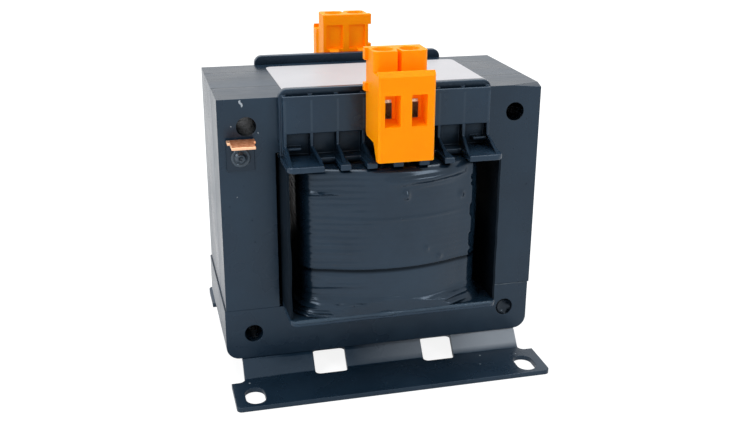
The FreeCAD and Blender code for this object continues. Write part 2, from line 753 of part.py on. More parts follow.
def on_front(shape):
    """Place a piece drawn in the block's own frame on the front carrier."""
    placed = shape.mirror(vec(0, 0, 0), vec(0, 1, 0))
    placed.translate(vec(BLOCK_SHIFT, -BLOCK_BACK, 0))
    return placed


def lead_wire(x):
    """One lead: up from the winding through its flange slot, then back to the bar's tail."""
    r = LEAD_DIAMETER / 2
    y = -(BLOCK_BACK + tail_face() + LEAD_SETBACK)
    z0 = COIL_TOP - WINDING_END_GAP
    z1 = BAR_UNDERSIDE - BAR_TAIL + BAR_THICKNESS + LEAD_DIAMETER
    bend = z1 - LEAD_BEND
    middle = LEAD_BEND * (1 - math.sqrt(0.5))
    rise = Part.LineSegment(vec(x, y, z0), vec(x, y, bend)).toShape()
    curve = Part.Arc(
        vec(x, y, bend), vec(x, y + middle, z1 - middle), vec(x, y + LEAD_BEND, z1),
    ).toShape()
    end = Part.LineSegment(
        vec(x, y + LEAD_BEND, z1), vec(x, y + LEAD_SETBACK, z1),
    ).toShape()
    path = Part.Wire([rise, curve, end])
    circle = Part.Wire(Part.makeCircle(r, vec(x, y, z0), vec(0, 0, 1)))
    return path.makePipeShell([circle], True, False)


def terminal_block_nodes():
    """Every piece of both blocks, by node name."""
    nodes = {}

    def to_rear_carrier(shape):
        moved = to_rear(shape)
        moved.translate(vec(REAR_BLOCK_SHIFT, 0, 0))
        return moved

    sides = (("front", lambda s: s), ("rear", to_rear_carrier))
    for side, place in sides:
        nodes[f"{side}_terminal_housing"] = place(on_front(housing()))
        for pole, x in zip(("left", "right"), pole_places()):
            nodes[f"{side}_{pole}_clamp_cage"] = place(on_front(clamp_cage(x)))
            nodes[f"{side}_{pole}_clamp_screw"] = place(on_front(clamp_screw(x)))
            nodes[f"{side}_{pole}_contact_bar"] = place(on_front(contact_bar(x)))
            nodes[f"{side}_{pole}_lead"] = place(lead_wire(x + BLOCK_SHIFT))
    return nodes


# Label, earth tab and rivet


def rating_label():
    x0 = LABEL_SHIFT - LABEL_WIDTH / 2
    half = LABEL_DEPTH / 2
    return box(x0, x0 + LABEL_WIDTH, -half, half, CORE_TOP, CORE_TOP + LABEL_THICKNESS)


def earth_tab():
    """A plate flat on the core's face, bent forwards into a push-on blade with shoulders."""
    x, z = rivet_axis()
    top = tab_top()
    face = CORE_FACE
    wide = TAB_PLATE_WIDTH / 2
    narrow = TAB_BLADE_WIDTH / 2
    side_view = [
        (-face, top - TAB_SHEET - TAB_PLATE_HEIGHT),
        (-face, top),
        (-face - TAB_BLADE_REACH, top),
        (-face - TAB_BLADE_REACH, top - TAB_SHEET),
        (-face - TAB_SHEET, top - TAB_SHEET),
        (-face - TAB_SHEET, top - TAB_SHEET - TAB_PLATE_HEIGHT),
    ]
    tab = prism_across(side_view, x - wide, x + wide)
    tab = round_edges(
        tab, vec(1, 0, 0), TAB_SHEET,
        lambda m: abs(m.y + face) < 0.01 and abs(m.z - top) < 0.01,
    )
    shoulder = -face - TAB_SHOULDER
    tip = -face - TAB_BLADE_REACH - 1
    for side in (-1, 1):
        x0, x1 = sorted((x + side * narrow, x + side * (wide + 1)))
        tab = tab.cut(box(x0, x1, tip, shoulder, top - TAB_SHEET - 1, top + 1))
    hole = rod(
        vec(x, -face - TAB_SHEET - 1, z), vec(0, 1, 0), RIVET_SHANK_DIAMETER / 2, TAB_SHEET + 2,
    )
    return tab.cut(hole)


def earth_rivet():
    """The rivet that holds the tab: shank in the core, a flat ring and a dome."""
    x, z = rivet_axis()
    face = -CORE_FACE - TAB_SHEET
    out = vec(0, -1, 0)
    shank = rod(
        vec(x, face, z), vec(0, 1, 0), RIVET_SHANK_DIAMETER / 2, TAB_SHEET + RIVET_SHANK_DEPTH,
    )
    head = Part.makeCone(
        RIVET_HEAD_DIAMETER / 2, RIVET_HEAD_DIAMETER / 2 - RIVET_HEAD_HEIGHT / 2,
        RIVET_HEAD_HEIGHT, vec(x, face, z), out,
    )
    dome_r = RIVET_DOME_DIAMETER / 2
    sphere_r = (dome_r ** 2 + RIVET_DOME_HEIGHT ** 2) / (2 * RIVET_DOME_HEIGHT)
    front = face - RIVET_HEAD_HEIGHT
    ball = Part.makeSphere(sphere_r, vec(x, front + sphere_r - RIVET_DOME_HEIGHT, z))
    dome = ball.common(box(x - dome_r - 1, x + dome_r + 1, front - 2, front + 0.2, z - 4, z + 4))
    return joined([shank, head, dome])


# Assembly


def build():
    bracket = foot_bracket()
    nodes = {
        "e_lamination_stack": e_stack(),
        "i_lamination_stack": i_stack(),
        "foot_bracket_front": bracket,
        "foot_bracket_rear": to_rear(bracket),
        "bracket_weld_beads": weld_beads(),
        "coil_former": coil_former(),
        "side_cheek_left": side_cheek(-1),
        "side_cheek_right": side_cheek(1),
        "rating_label": rating_label(),
        "earth_tab": earth_tab(),
        "earth_rivet": earth_rivet(),
    }
    nodes.update(coil_layers())
    nodes.update(terminal_block_nodes())
    return nodes


os.makedirs("parts", exist_ok=True)
for name, shape in build().items():
    shape.exportStep(f"parts/{name}.step")
    print(f"{name}: {len(shape.Solids)} solid, {shape.Volume:.1f} mm3, valid {shape.isValid()}")
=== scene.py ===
# %% [markdown]
# # A varnished mains transformer, dressed for a close look
#
# The solid model gives every piece its true place and size. This lesson adds what the eye
# expects of the real thing: the eased edges of dipped varnish, the tape's folds round the coil,
# the satin of moulded plastic, and bare copper on the earth blade. Lengths are in metres, so
# one small helper writes them as millimetres.

# %% Load the solid model
import math
import random

import bmesh
import bpy
from mathutils import Matrix, Vector, noise


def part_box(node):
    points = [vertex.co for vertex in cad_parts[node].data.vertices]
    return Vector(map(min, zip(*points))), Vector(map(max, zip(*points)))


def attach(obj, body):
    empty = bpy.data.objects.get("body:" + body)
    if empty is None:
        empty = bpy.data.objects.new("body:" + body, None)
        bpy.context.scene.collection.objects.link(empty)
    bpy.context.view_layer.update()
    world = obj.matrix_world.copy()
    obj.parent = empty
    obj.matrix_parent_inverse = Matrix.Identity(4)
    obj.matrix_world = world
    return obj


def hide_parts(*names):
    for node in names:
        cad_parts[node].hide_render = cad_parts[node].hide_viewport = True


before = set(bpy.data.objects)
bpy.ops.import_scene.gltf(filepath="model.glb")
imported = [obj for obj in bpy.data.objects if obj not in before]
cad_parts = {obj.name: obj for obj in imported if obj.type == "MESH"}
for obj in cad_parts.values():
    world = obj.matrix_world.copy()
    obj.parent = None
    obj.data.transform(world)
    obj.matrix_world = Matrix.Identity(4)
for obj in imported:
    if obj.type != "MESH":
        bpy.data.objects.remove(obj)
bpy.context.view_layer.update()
STILL = "transformer"
MM = 0.001

# %% [markdown]
# ## The camera
#
# The camera stands where the photographer's did. Its place was worked out from the core, whose
# size is a standard one: a point is known, three angles turn the camera, and the focal length
# sets how fast the far edges draw together. A longer lens would flatten the block.

# %% Place the camera
CAMERA_SPOT_MM = (-71.0018, -286.6027, 149.2498)
CAMERA_RIGHT = (0.968728, -0.248028, 0.006905)
CAMERA_UP = (0.078402, 0.332383, 0.939880)
CAMERA_BACK = (-0.235411, -0.909947, 0.341435)
CAMERA_LENS_MM = 46.846

camera_data = bpy.data.cameras.new("studio_camera")
camera_data.lens = CAMERA_LENS_MM
camera_data.sensor_width = 36
camera = bpy.data.objects.new("studio_camera", camera_data)
bpy.context.scene.collection.objects.link(camera)
turn = Matrix((CAMERA_RIGHT, CAMERA_UP, CAMERA_BACK)).transposed()
camera.matrix_world = Matrix.Translation(Vector(CAMERA_SPOT_MM) * MM) @ turn.to_4x4()
bpy.context.scene.camera = camera
print("camera at", [round(v, 4) for v in camera.location], "m, lens", camera_data.lens, "mm")

# %% [markdown]
# ## Helpers for colours and nodes
#
# Colours are written as they look on a screen, in sRGB hex, but light adds up in linear values,
# so one function turns the first into the second. Shader and geometry trees are both made of
# nodes with settings and links, so one small function serves them all. The few kinds of node
# that come back often, such as arithmetic, noise and bump, have a short form of their own.


# %% Colour and node helpers
def hex_linear(code):
    """An sRGB hex colour as linear red, green, blue and alpha."""
    values = [int(code[i:i + 2], 16) / 255 for i in (1, 3, 5)]
    linear = [v / 12.92 if v <= 0.04045 else ((v + 0.055) / 1.055) ** 2.4 for v in values]
    return (*linear, 1.0)


def add(tree, kind, inputs=None, **settings):
    """One node with its settings; an input is given a value, or linked if it is a socket."""
    made = tree.nodes.new(kind)
    for key, value in settings.items():
        setattr(made, key, value)
    for key, value in (inputs or {}).items():
        if isinstance(value, bpy.types.NodeSocket):
            tree.links.new(value, made.inputs[key])
        else:
            made.inputs[key].default_value = value
    return made


def maths(tree, operation, *values, **settings):
    """One step of arithmetic on numbers or sockets."""
    made = add(tree, "ShaderNodeMath", dict(enumerate(values)), operation=operation, **settings)
    return made.outputs["Value"]


def ranged(tree, value, old, new=(0.0, 1.0)):
    """A value moved from its old range into a new one, and held inside it."""
    made = add(tree, "ShaderNodeMapRange", {
        "Value": value, "From Min": old[0], "From Max": old[1], "To Min": new[0], "To Max": new[1],
    })
    return made.outputs["Result"]


def noisy(tree, place, size_mm, detail, roughness=0.5):
    """A noise whose patches are about as wide as the given size."""
    made = add(tree, "ShaderNodeTexNoise", {
        "Vector": place, "Scale": 1 / (size_mm * MM), "Detail": detail, "Roughness": roughness,
    })
    return made.outputs["Fac"]


def bumped(tree, height, strength, distance_mm, normal=None):
    """The surface's direction with a small relief laid over it."""
    inputs = {"Height": height, "Strength": strength, "Distance": distance_mm * MM}
    if normal is not None:
        inputs["Normal"] = normal
    return add(tree, "ShaderNodeBump", inputs).outputs["Normal"]


def new_material(name):
    """An empty node material with its surface shader and the piece's own coordinates."""
    material = bpy.data.materials.new(name)
    material.use_nodes = True
    tree = material.node_tree
    tree.nodes.clear()
    shader = add(tree, "ShaderNodeBsdfPrincipled")
    add(tree, "ShaderNodeOutputMaterial", {"Surface": shader.outputs["BSDF"]})
    place = add(tree, "ShaderNodeTexCoord").outputs["Object"]
    return material, tree, shader, place


def opened(material):
    """The tree of a finished material, its surface shader and the piece's own coordinates."""
    tree = material.node_tree
    shader = next(n for n in tree.nodes if n.type == "BSDF_PRINCIPLED")
    place = next(n for n in tree.nodes if n.type == "TEX_COORD").outputs["Object"]
    return tree, shader, place


def two_tone(tree, colour, other, factor):
    """A colour that turns into another as the factor rises from 0 to 1."""
    made = add(tree, "ShaderNodeMix", data_type="RGBA")
    made.inputs["A"].default_value = hex_linear(colour)
    made.inputs["B"].default_value = hex_linear(other)
    tree.links.new(factor, made.inputs["Factor"])
    return made.outputs["Result"]


def lay_over(tree, shader, colour, factor):
    """Lays a colour over what the shader shows already, where the factor is 1."""
    made = add(tree, "ShaderNodeMix", data_type="RGBA")
    made.inputs["B"].default_value = hex_linear(colour)
    tree.links.new(shader.inputs["Base Color"].links[0].from_socket, made.inputs["A"])
    tree.links.new(factor, made.inputs["Factor"])
    tree.links.new(made.outputs["Result"], shader.inputs["Base Color"])


print("sRGB #2b3844 is linear", [round(v, 4) for v in hex_linear("#2b3844")[:3]])

# %% [markdown]
# ## Dipping varnish
#
# The whole transformer was dipped in dark blue-grey impregnating varnish and baked. Baked varnish
# is an alkyd or polyester resin: a dielectric with an IOR near 1.5. It is dark seen square on
# and pale at a flat angle, where it mirrors the bright studio, so the block's top and side look
# light grey though their colour is the same as the front's. A gentle orange peel about 3 mm
# across and a little unevenness of colour keep it from looking like plastic. On the core the
# edges of the 0.5 mm sheets show through as faint lines; they are drawn 1.5 mm apart, because
# at the photograph's size half a millimetre is one pixel and would only shimmer.

# %% Varnish materials
SHEET_LINES_MM = 1.5
PEEL_MM = 3.0
PACK_LINES_MM = ((-13.5, 0.3), (-8.6, 0.6), (3.0, 0.3), (12.5, 0.45))


def product(tree, colour, factor):
    """A colour multiplied by a plain factor."""
    made = add(tree, "ShaderNodeMix", data_type="RGBA", blend_type="MULTIPLY")
    made.inputs["Factor"].default_value = 1.0
    tree.links.new(colour, made.inputs["A"])
    tree.links.new(factor, made.inputs["B"])
    return made.outputs["Result"]


def varnish(
    name, colour, worn_colour, roughness, sheet_lines=0.0, peel=0.25, grain_mm=0.35,
    painted_shade_mm=0.0, ior=1.5, gloss=0.5,
):
    """Baked varnish, from the colour to the worn colour in patches.

    sheet_lines is how strongly the sheets show through, peel how strong the orange peel is, and
    the hollow width sets which hollows get painted shade, darker and duller. gloss is the specular
    level there.
    """
    material, tree, shader, place = new_material(name)
    patches = noisy(tree, place, 22, 4.0, 0.6)
    spread = ranged(tree, patches, (0.35, 0.7))
    shader.inputs["IOR"].default_value = ior
    shader.inputs["Specular Tint"].default_value = hex_linear("#cfe3f8")

    # The orange peel, and grit under the skin
    peel_noise = noisy(tree, place, PEEL_MM, 2.0)
    grain = noisy(tree, place, grain_mm, 2.0)
    soft = bumped(tree, peel_noise, peel, 0.25)
    normal = bumped(tree, grain, 0.12, 0.05, soft)
    colour_out = two_tone(tree, colour, worn_colour, spread)
    if sheet_lines:
        # Lines across Y only: a noise that is stretched without end along X and Z
        flat = add(tree, "ShaderNodeMapping", {"Vector": place, "Scale": (0.0, 1.0, 0.0)})
        lines = noisy(tree, flat.outputs["Vector"], SHEET_LINES_MM, 3.0, 0.7)
        bands = noisy(tree, flat.outputs["Vector"], 14, 1.0)
        # The varnish is thinner on the left side, where the sheets are clear, than on the top
        across = add(tree, "ShaderNodeSeparateXYZ", {"Vector": place}).outputs["X"]
        clear = ranged(tree, across, (-47.9 * MM, -46.0 * MM), (1.0, 0.3))
        relief = maths(tree, "MULTIPLY", clear, sheet_lines)
        normal = bumped(tree, lines, relief, 0.12, normal)
        both = maths(tree, "ADD", lines, bands)
        shade = ranged(tree, both, (0.75, 1.25), (0.7, 1.3))
        colour_out = product(tree, colour_out, shade)
        # The stack was assembled in packs, and a dark line shows where two of them meet
        along = add(tree, "ShaderNodeSeparateXYZ", {"Vector": place}).outputs["Y"]
        for pack_y, strength in PACK_LINES_MM:
            far = maths(tree, "SUBTRACT", along, pack_y * MM)
            far = maths(tree, "ABSOLUTE", far)
            line = ranged(tree, far, (0.1 * MM, 0.7 * MM), (1 - strength, 1.0))
            colour_out = product(tree, colour_out, line)
            deep = maths(tree, "MULTIPLY", clear, strength)
            normal = bumped(tree, line, deep, 0.5, normal)
    if painted_shade_mm:
        # Painted shade: where ambient occlusion finds a hollow, the colour is darkened and the
        # specular level lowered
        open_sky = add(tree, "ShaderNodeAmbientOcclusion", {"Distance": painted_shade_mm * MM}, samples=8)
        painted_shade = ranged(tree, open_sky.outputs["AO"], (0.2, 0.8), (0.25, 1.0))
        colour_out = product(tree, colour_out, painted_shade)
        level = maths(tree, "MULTIPLY", painted_shade, gloss)
        tree.links.new(level, shader.inputs["Specular IOR Level"])
    satin = ranged(tree, patches, (0.3, 0.75), (roughness - 0.05, roughness + 0.09))
    tree.links.new(satin, shader.inputs["Roughness"])
    tree.links.new(colour_out, shader.inputs["Base Color"])
    tree.links.new(normal, shader.inputs["Normal"])
    return material


varnished_core = varnish(
    "varnish_on_stacked_sheets", "#12212f", "#1a2b3a", 0.27, sheet_lines=0.7, peel=0.2,
)
varnished_bracket = varnish("varnish_on_folded_steel", "#142534", "#1c2e3e", 0.27, peel=0.3)
# The former's hollows, under the plate and beside the coil, get painted shade
varnished_moulding = varnish(
    "varnish_on_moulded_former", "#142535", "#1e3142", 0.25, peel=0.35, painted_shade_mm=10.0,
)


def web_with_painted_reflection():
    """The bracket's varnish with a pale grey painted reflection on the right of the web, above the
    bend.
    """
    material = varnish("varnish_on_bracket_web_with_painted_reflection", "#142534", "#1c2e3e", 0.27, peel=0.3)
    tree, shader, place = opened(material)
    axes = add(tree, "ShaderNodeSeparateXYZ", {"Vector": place})
    rightward = ranged(tree, axes.outputs["X"], (-0.01, 0.035))
    upward = ranged(tree, axes.outputs["Z"], (1.6 * MM, 3.0 * MM))
    both = maths(tree, "MULTIPLY", rightward, upward)
    # Painted reflection of the bright floor, laid pale grey on the web's right above the bend
    lay_over(tree, shader, "#9aa1a9", both)
    return material


CHAMBER_PITCH_MM = 7.45
PLATE_FOOT_Z_MM = (77.2, 77.6)
PLATE_HEAD_Z_MM = (86.2, 86.4)


def sink_mark_highlights(material):
    """Faint paler lines on the plate where a rib behind it drew the plastic in as it cooled: the
    marks are real, their paleness is a painted highlight.
    """
    tree, shader, place = opened(material)
    axes = add(tree, "ShaderNodeSeparateXYZ", {"Vector": place})
    turns = maths(tree, "MULTIPLY", axes.outputs["X"], 1 / (CHAMBER_PITCH_MM * MM))
    saw = maths(tree, "PINGPONG", turns, 0.5)
    mark = ranged(tree, saw, (0.015, 0.06), (1.0, 0.0))
    high = ranged(tree, axes.outputs["Z"], (PLATE_FOOT_Z_MM[0] * MM, PLATE_FOOT_Z_MM[1] * MM))
    low = ranged(
        tree, axes.outputs["Z"], (PLATE_HEAD_Z_MM[0] * MM, PLATE_HEAD_Z_MM[1] * MM), (1.0, 0.0),
    )
    both = maths(tree, "MULTIPLY", mark, high)
    both = maths(tree, "MULTIPLY", both, low)
    # The paler colour is a painted highlight along each sink mark
    lay_over(tree, shader, "#293948", both)


sink_mark_highlights(varnished_moulding)
varnished_front_bracket = web_with_painted_reflection()
varnished_rivet = varnish("varnish_over_rivet", "#18242f", "#66717a", 0.2, peel=0.9, grain_mm=0.5)
# The board stands in the dark window beside the coil, and its hollows get painted shade too
varnished_board = varnish(
    "varnish_on_pressboard", "#0a1118", "#111a23", 0.5, peel=0.2, grain_mm=0.6, painted_shade_mm=12.0,
    gloss=0.08,
)
# Near black: varnish really pooled in one plugged hole, and the rest of the darkness is painted
# shade of the deep holes
pooled_varnish_and_hole_shade = varnish(
    "varnish_pooled_in_holes_and_hole_shade", "#070e15", "#0d161f", 0.17, peel=0.5, grain_mm=0.5, painted_shade_mm=4.0,
)
print("varnish materials:", [m.name for m in bpy.data.materials if m.name.startswith("varnish")])

# %% [markdown]
# ## Orange polyamide, steel, brass and copper
#
# The terminal blocks are injection-moulded polyamide 6 in signal orange: satin, with an IOR near
# 1.5, and a little light travels inside, so thin edges glow yellower. The clamps are
# zinc-plated steel, the contact bars tinned brass. The earth tab was dipped with the rest, but
# its blade was masked, so the copper-coloured metal is bare there and varnished lower down.

# %% Plastic and metal materials
def polyamide():
    """The satin orange plastic of the terminal blocks."""
    material, tree, shader, place = new_material("orange_polyamide")
    flow = noisy(tree, place, 7, 3.0)
    tone = two_tone(tree, "#ff9400", "#ff9e00", flow)
    tree.links.new(tone, shader.inputs["Base Color"])
    spark = noisy(tree, place, 0.18, 2.0)
    texture = bumped(tree, spark, 0.15, 0.03)
    tree.links.new(texture, shader.inputs["Normal"])
    shader.inputs["Roughness"].default_value = 0.45
    shader.inputs["IOR"].default_value = 1.5
    shader.inputs["Specular IOR Level"].default_value = 0.2
    shader.inputs["Specular Tint"].default_value = hex_linear("#ffd8a0")
    shader.inputs["Subsurface Weight"].default_value = 0.5
    shader.inputs["Subsurface Radius"].default_value = (1.0, 0.45, 0.1)
    shader.inputs["Subsurface Scale"].default_value = 1.2 * MM
    # A weak orange glow is painted in, so its shaded hollows stay a deep orange
    shader.inputs["Emission Color"].default_value = hex_linear("#ff6400")
    shader.inputs["Emission Strength"].default_value = 0.12
    return material


def metal(name, colour, dull_colour, roughness, grain_mm):
    """A bare or plated metal with dull marks of one size."""
    material, tree, shader, place = new_material(name)
    marks = noisy(tree, place, grain_mm, 4.0, 0.65)
    spread = ranged(tree, marks, (0.35, 0.65))
    tone = two_tone(tree, colour, dull_colour, spread)
    tree.links.new(tone, shader.inputs["Base Color"])
    satin = ranged(tree, marks, (0.0, 1.0), (roughness - 0.08, roughness + 0.12))
    tree.links.new(satin, shader.inputs["Roughness"])
    dents = bumped(tree, marks, 0.2, 0.04)
    tree.links.new(dents, shader.inputs["Normal"])
    shader.inputs["Metallic"].default_value = 1.0
    return material


orange_plastic = polyamide()
zinc_steel = metal("zinc_plated_steel", "#bdb4a8", "#7d6c5c", 0.38, 0.5)
tinned_brass = metal("tinned_brass", "#e2d6c2", "#a08a66", 0.32, 0.6)
bare_copper = metal("bare_copper", "#f2b48c", "#b9683c", 0.48, 1.3)
enamelled_wire = varnish("varnish_on_wire", "#1d1c22", "#2b2320", 0.32, peel=0.5, grain_mm=0.8)
print("metals:", zinc_steel.name, tinned_brass.name, bare_copper.name)


# %% Copper blade that runs into varnish
BARE_FROM_Y_MM = -24.3
HIGHLIT_FRONT_Y_MM = -32.1
HIGHLIT_LEFT_X_MM = -45.0


def half_dipped():
    """Bare copper towards the blade's tip, varnish on the plate; a ragged line between."""
    material = bare_copper.copy()
    material.name = "copper_blade_with_varnished_plate"
    tree, metal_shader, place = opened(material)
    output = next(n for n in tree.nodes if n.type == "OUTPUT_MATERIAL")
    skin = add(tree, "ShaderNodeBsdfPrincipled")
    skin.inputs["Base Color"].default_value = hex_linear("#101d2a")
    skin.inputs["Roughness"].default_value = 0.28
    skin.inputs["IOR"].default_value = 1.5
    skin.inputs["Specular Tint"].default_value = hex_linear("#cfe3f8")
    along = add(tree, "ShaderNodeSeparateXYZ", {"Vector": place})
    # The front edge and the left end are painted paler, as highlight
    front_highlight = maths(tree, "LESS_THAN", along.outputs["Y"], HIGHLIT_FRONT_Y_MM * MM)
    left_highlight = maths(tree, "LESS_THAN", along.outputs["X"], HIGHLIT_LEFT_X_MM * MM)
    painted_edge_highlight = maths(tree, "MAXIMUM", front_highlight, left_highlight)
    lay_over(tree, metal_shader, "#f7c7a2", painted_edge_highlight)
    ragged = noisy(tree, place, 1.6, 3.0)
    wander = maths(tree, "MULTIPLY", ragged, 1.2 * MM)
    edge = maths(tree, "ADD", along.outputs["Y"], wander)
    side = maths(tree, "GREATER_THAN", edge, (BARE_FROM_Y_MM + 0.6) * MM)
    blend = add(tree, "ShaderNodeMixShader", {
        "Fac": side, 1: metal_shader.outputs["BSDF"], 2: skin.outputs["BSDF"],
    })
    tree.links.new(blend.outputs["Shader"], output.inputs["Surface"])
    return material


tab_copper = half_dipped()
print("tab:", tab_copper.name)


# %% Label film and layer paper
def film(name, colour, roughness):
    """A thin pale sheet, such as label film or paper, a little cloudy."""
    material, tree, shader, place = new_material(name)
    cloud = noisy(tree, place, 9, 3.0)
    shade = ranged(tree, cloud, (0.0, 1.0), (0.93, 1.03))
    tinted = add(tree, "ShaderNodeMix", data_type="RGBA", blend_type="MULTIPLY")
    tinted.inputs["Factor"].default_value = 1.0
    tinted.inputs["A"].default_value = hex_linear(colour)
    tree.links.new(shade, tinted.inputs["B"])
    tree.links.new(tinted.outputs["Result"], shader.inputs["Base Color"])
    shader.inputs["Roughness"].default_value = roughness
    ripple = bumped(tree, cloud, 0.2, 0.1)
    tree.links.new(ripple, shader.inputs["Normal"])
    return material


label_film = film("white_label_film", "#c0c0c4", 0.42)
layer_paper = film("insulating_paper", "#a99a7c", 0.6)
print("films:", label_film.name, layer_paper.name)

# %% [markdown]
# ## Eased edges
#
# A punched sheet or a moulding is never as sharp as a solid model: varnish draws back from
# an edge and leaves it round. Each big piece is therefore remade from its own solid. The
# solid's loose triangles are merged, flat triangles are joined into whole faces, and a bevel of a
# few tenths of a millimetre rounds what is left. A shader could fake this, but a real bevel also
# rounds the outline and stays in the mesh.


# %% Remake a solid with eased edges
def plain_object(name, vertices, faces, material):
    """A new mesh object at the origin."""
    mesh = bpy.data.meshes.new(name)
    mesh.from_pydata(vertices, [], faces)
    mesh.materials.append(material)
    made = bpy.data.objects.new(name, mesh)
    bpy.context.scene.collection.objects.link(made)
    return made


def bake(piece):
    """Turns the piece with its modifiers into a plain mesh."""
    graph = bpy.context.evaluated_depsgraph_get()
    mesh = bpy.data.meshes.new_from_object(piece.evaluated_get(graph), depsgraph=graph)
    old = piece.data
    piece.modifiers.clear()
    piece.data = mesh
    bpy.data.meshes.remove(old)
    return piece


def solid_shape(node):
    """The solid's vertices and faces with triangles merged into flat faces."""
    shape = bmesh.new()
    shape.from_mesh(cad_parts[node].data)
    bmesh.ops.remove_doubles(shape, verts=shape.verts, dist=0.002 * MM)
    bmesh.ops.dissolve_limit(
        shape, angle_limit=math.radians(1.5), verts=shape.verts, edges=shape.edges,
    )
    return shape


def smoothed(piece, sharp_degrees):
    """Smooth shading that breaks where faces meet at more than an angle."""
    for polygon in piece.data.polygons:
        polygon.use_smooth = True
    piece.data.set_sharp_from_angle(angle=math.radians(sharp_degrees))


def eased(node, name, material, radius_mm, segments=2, cut=None, body=STILL):
    """A copy of a node's solid with rounded edges, which then stands in for the node."""
    shape = solid_shape(node)
    if cut:
        cut(shape)
    vertices = [v.co.copy() for v in shape.verts]
    shape.verts.index_update()
    faces = [[v.index for v in f.verts] for f in shape.faces]
    shape.free()
    piece = plain_object(name, vertices, faces, material)
    for polygon in piece.data.polygons:
        polygon.use_smooth = True
    bevel = piece.modifiers.new("eased_edge", "BEVEL")
    bevel.width = radius_mm * MM
    bevel.segments = segments
    bevel.limit_method = "ANGLE"
    bevel.angle_limit = math.radians(35)
    bevel.use_clamp_overlap = True
    normals = piece.modifiers.new("flat_faces", "WEIGHTED_NORMAL")
    normals.keep_sharp = False
    bake(piece)
    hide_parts(node)
    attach(piece, body)
    print(name, "faces:", len(piece.data.polygons))
    return piece


# %% [markdown]
# ## Core, brackets, former and terminal blocks
#
# The front right corner of the top sheets is bent down a little, which shows as a small bright
# wedge, so the E stack loses a thin corner there before its edges are eased.

# %% Core and brackets
CORNER_CUT_MM = ((38.3, -22.85, 86.4), (48.0, -20.0, 86.4), (48.0, -22.85, 85.5))


def clip_corner(shape):
    """Takes the bent corner off the top sheets."""
    a, b, c = (Vector(p) * MM for p in CORNER_CUT_MM)
    facing = (b - a).cross(c - a).normalized()
    if facing.z < 0:
        facing = -facing
    geometry = shape.verts[:] + shape.edges[:] + shape.faces[:]
    cut = bmesh.ops.bisect_plane(
        shape, geom=geometry, plane_co=a, plane_no=facing, clear_outer=True,
    )
    edges = [e for e in cut["geom_cut"] if isinstance(e, bmesh.types.BMEdge)]
    bmesh.ops.contextual_create(shape, geom=edges)


core = eased(
    "e_lamination_stack", "core_e_sheets", varnished_core, 0.35, cut=clip_corner,
)
core.data.materials.append(pooled_varnish_and_hole_shade)
HOLE_AXES_MM = [(x, z) for x in (-40.0, 40.0) for z in (14.4, 78.4)]
HOLE_REACH_MM = 2.9
# The walls of the four holes take the near-black varnish, which is painted shade there
for polygon in core.data.polygons:
    spot = polygon.center / MM
    near = min(math.hypot(spot.x - x, spot.z - z) for x, z in HOLE_AXES_MM)
    if near < HOLE_REACH_MM:
        polygon.material_index = 1
eased("i_lamination_stack", "core_i_sheets", varnished_core, 0.35)
eased("foot_bracket_front", "bracket_front", varnished_front_bracket, 0.3)
eased("foot_bracket_rear", "bracket_rear", varnished_bracket, 0.3)

# %% Former and terminal blocks
eased("coil_former", "former_moulding", varnished_moulding, 0.4)
eased(
    "front_terminal_housing", "front_block_moulding", orange_plastic, 0.3,
    segments=3,
)
eased(
    "rear_terminal_housing", "rear_block_moulding", orange_plastic, 0.3,
    segments=3,
)
eased("earth_tab", "earth_blade", tab_copper, 0.15)

# %% [markdown]
# ## Clamps that move
#
# Each pole has a rising cage and a captive screw, and both ride on their own bodies. A screw's
# thread is a ridge wound round a thinner shaft: the shaft is the solid's with its radius taken
# in, and the ridge is a spiral curve given a small diamond profile by Geometry Nodes.

# %% Geometry trees
def new_rule(name, **kinds):
    """A geometry tree, its input node and the identifiers of its further inputs."""
    tree = bpy.data.node_groups.new(name, "GeometryNodeTree")
    tree.interface.new_socket("Geometry", in_out="INPUT", socket_type="NodeSocketGeometry")
    keys = {
        key: tree.interface.new_socket(key, in_out="INPUT", socket_type=kind).identifier
        for key, kind in kinds.items()
    }
    tree.interface.new_socket("Geometry", in_out="OUTPUT", socket_type="NodeSocketGeometry")
    return tree, add(tree, "NodeGroupInput"), keys


def end_rule(tree, geometry, material):
    """The end of a geometry tree: the material, and the way out."""
    painted = add(tree, "GeometryNodeSetMaterial", {"Geometry": geometry, "Material": material})
    add(tree, "NodeGroupOutput", {"Geometry": painted.outputs["Geometry"]})


def end_copies(tree, instances, material):
    """The end of a tree that repeats a shape, which makes real and smooth meshes of it."""
    real = add(tree, "GeometryNodeRealizeInstances", {"Geometry": instances})
    smooth = add(tree, "GeometryNodeSetShadeSmooth", {"Geometry": real.outputs["Geometry"]})
    end_rule(tree, smooth.outputs["Geometry"], material)


def grow(piece, tree, values):
    """Runs a geometry tree on a piece, with its further inputs, and keeps what it makes."""
    rule = piece.modifiers.new(tree.name, "NODES")
    rule.node_group = tree
    for key, value in values.items():
        rule[key] = value
    bake(piece)


# %% Thread tree
SHAFT_MM = 1.5
THREAD_PITCH_MM = 0.5
THREAD_DEPTH_MM = 0.16
THREAD_FROM_Z_MM, THREAD_TO_Z_MM = 87.9, 94.6
SCREW_HEAD_Z_MM = 94.94


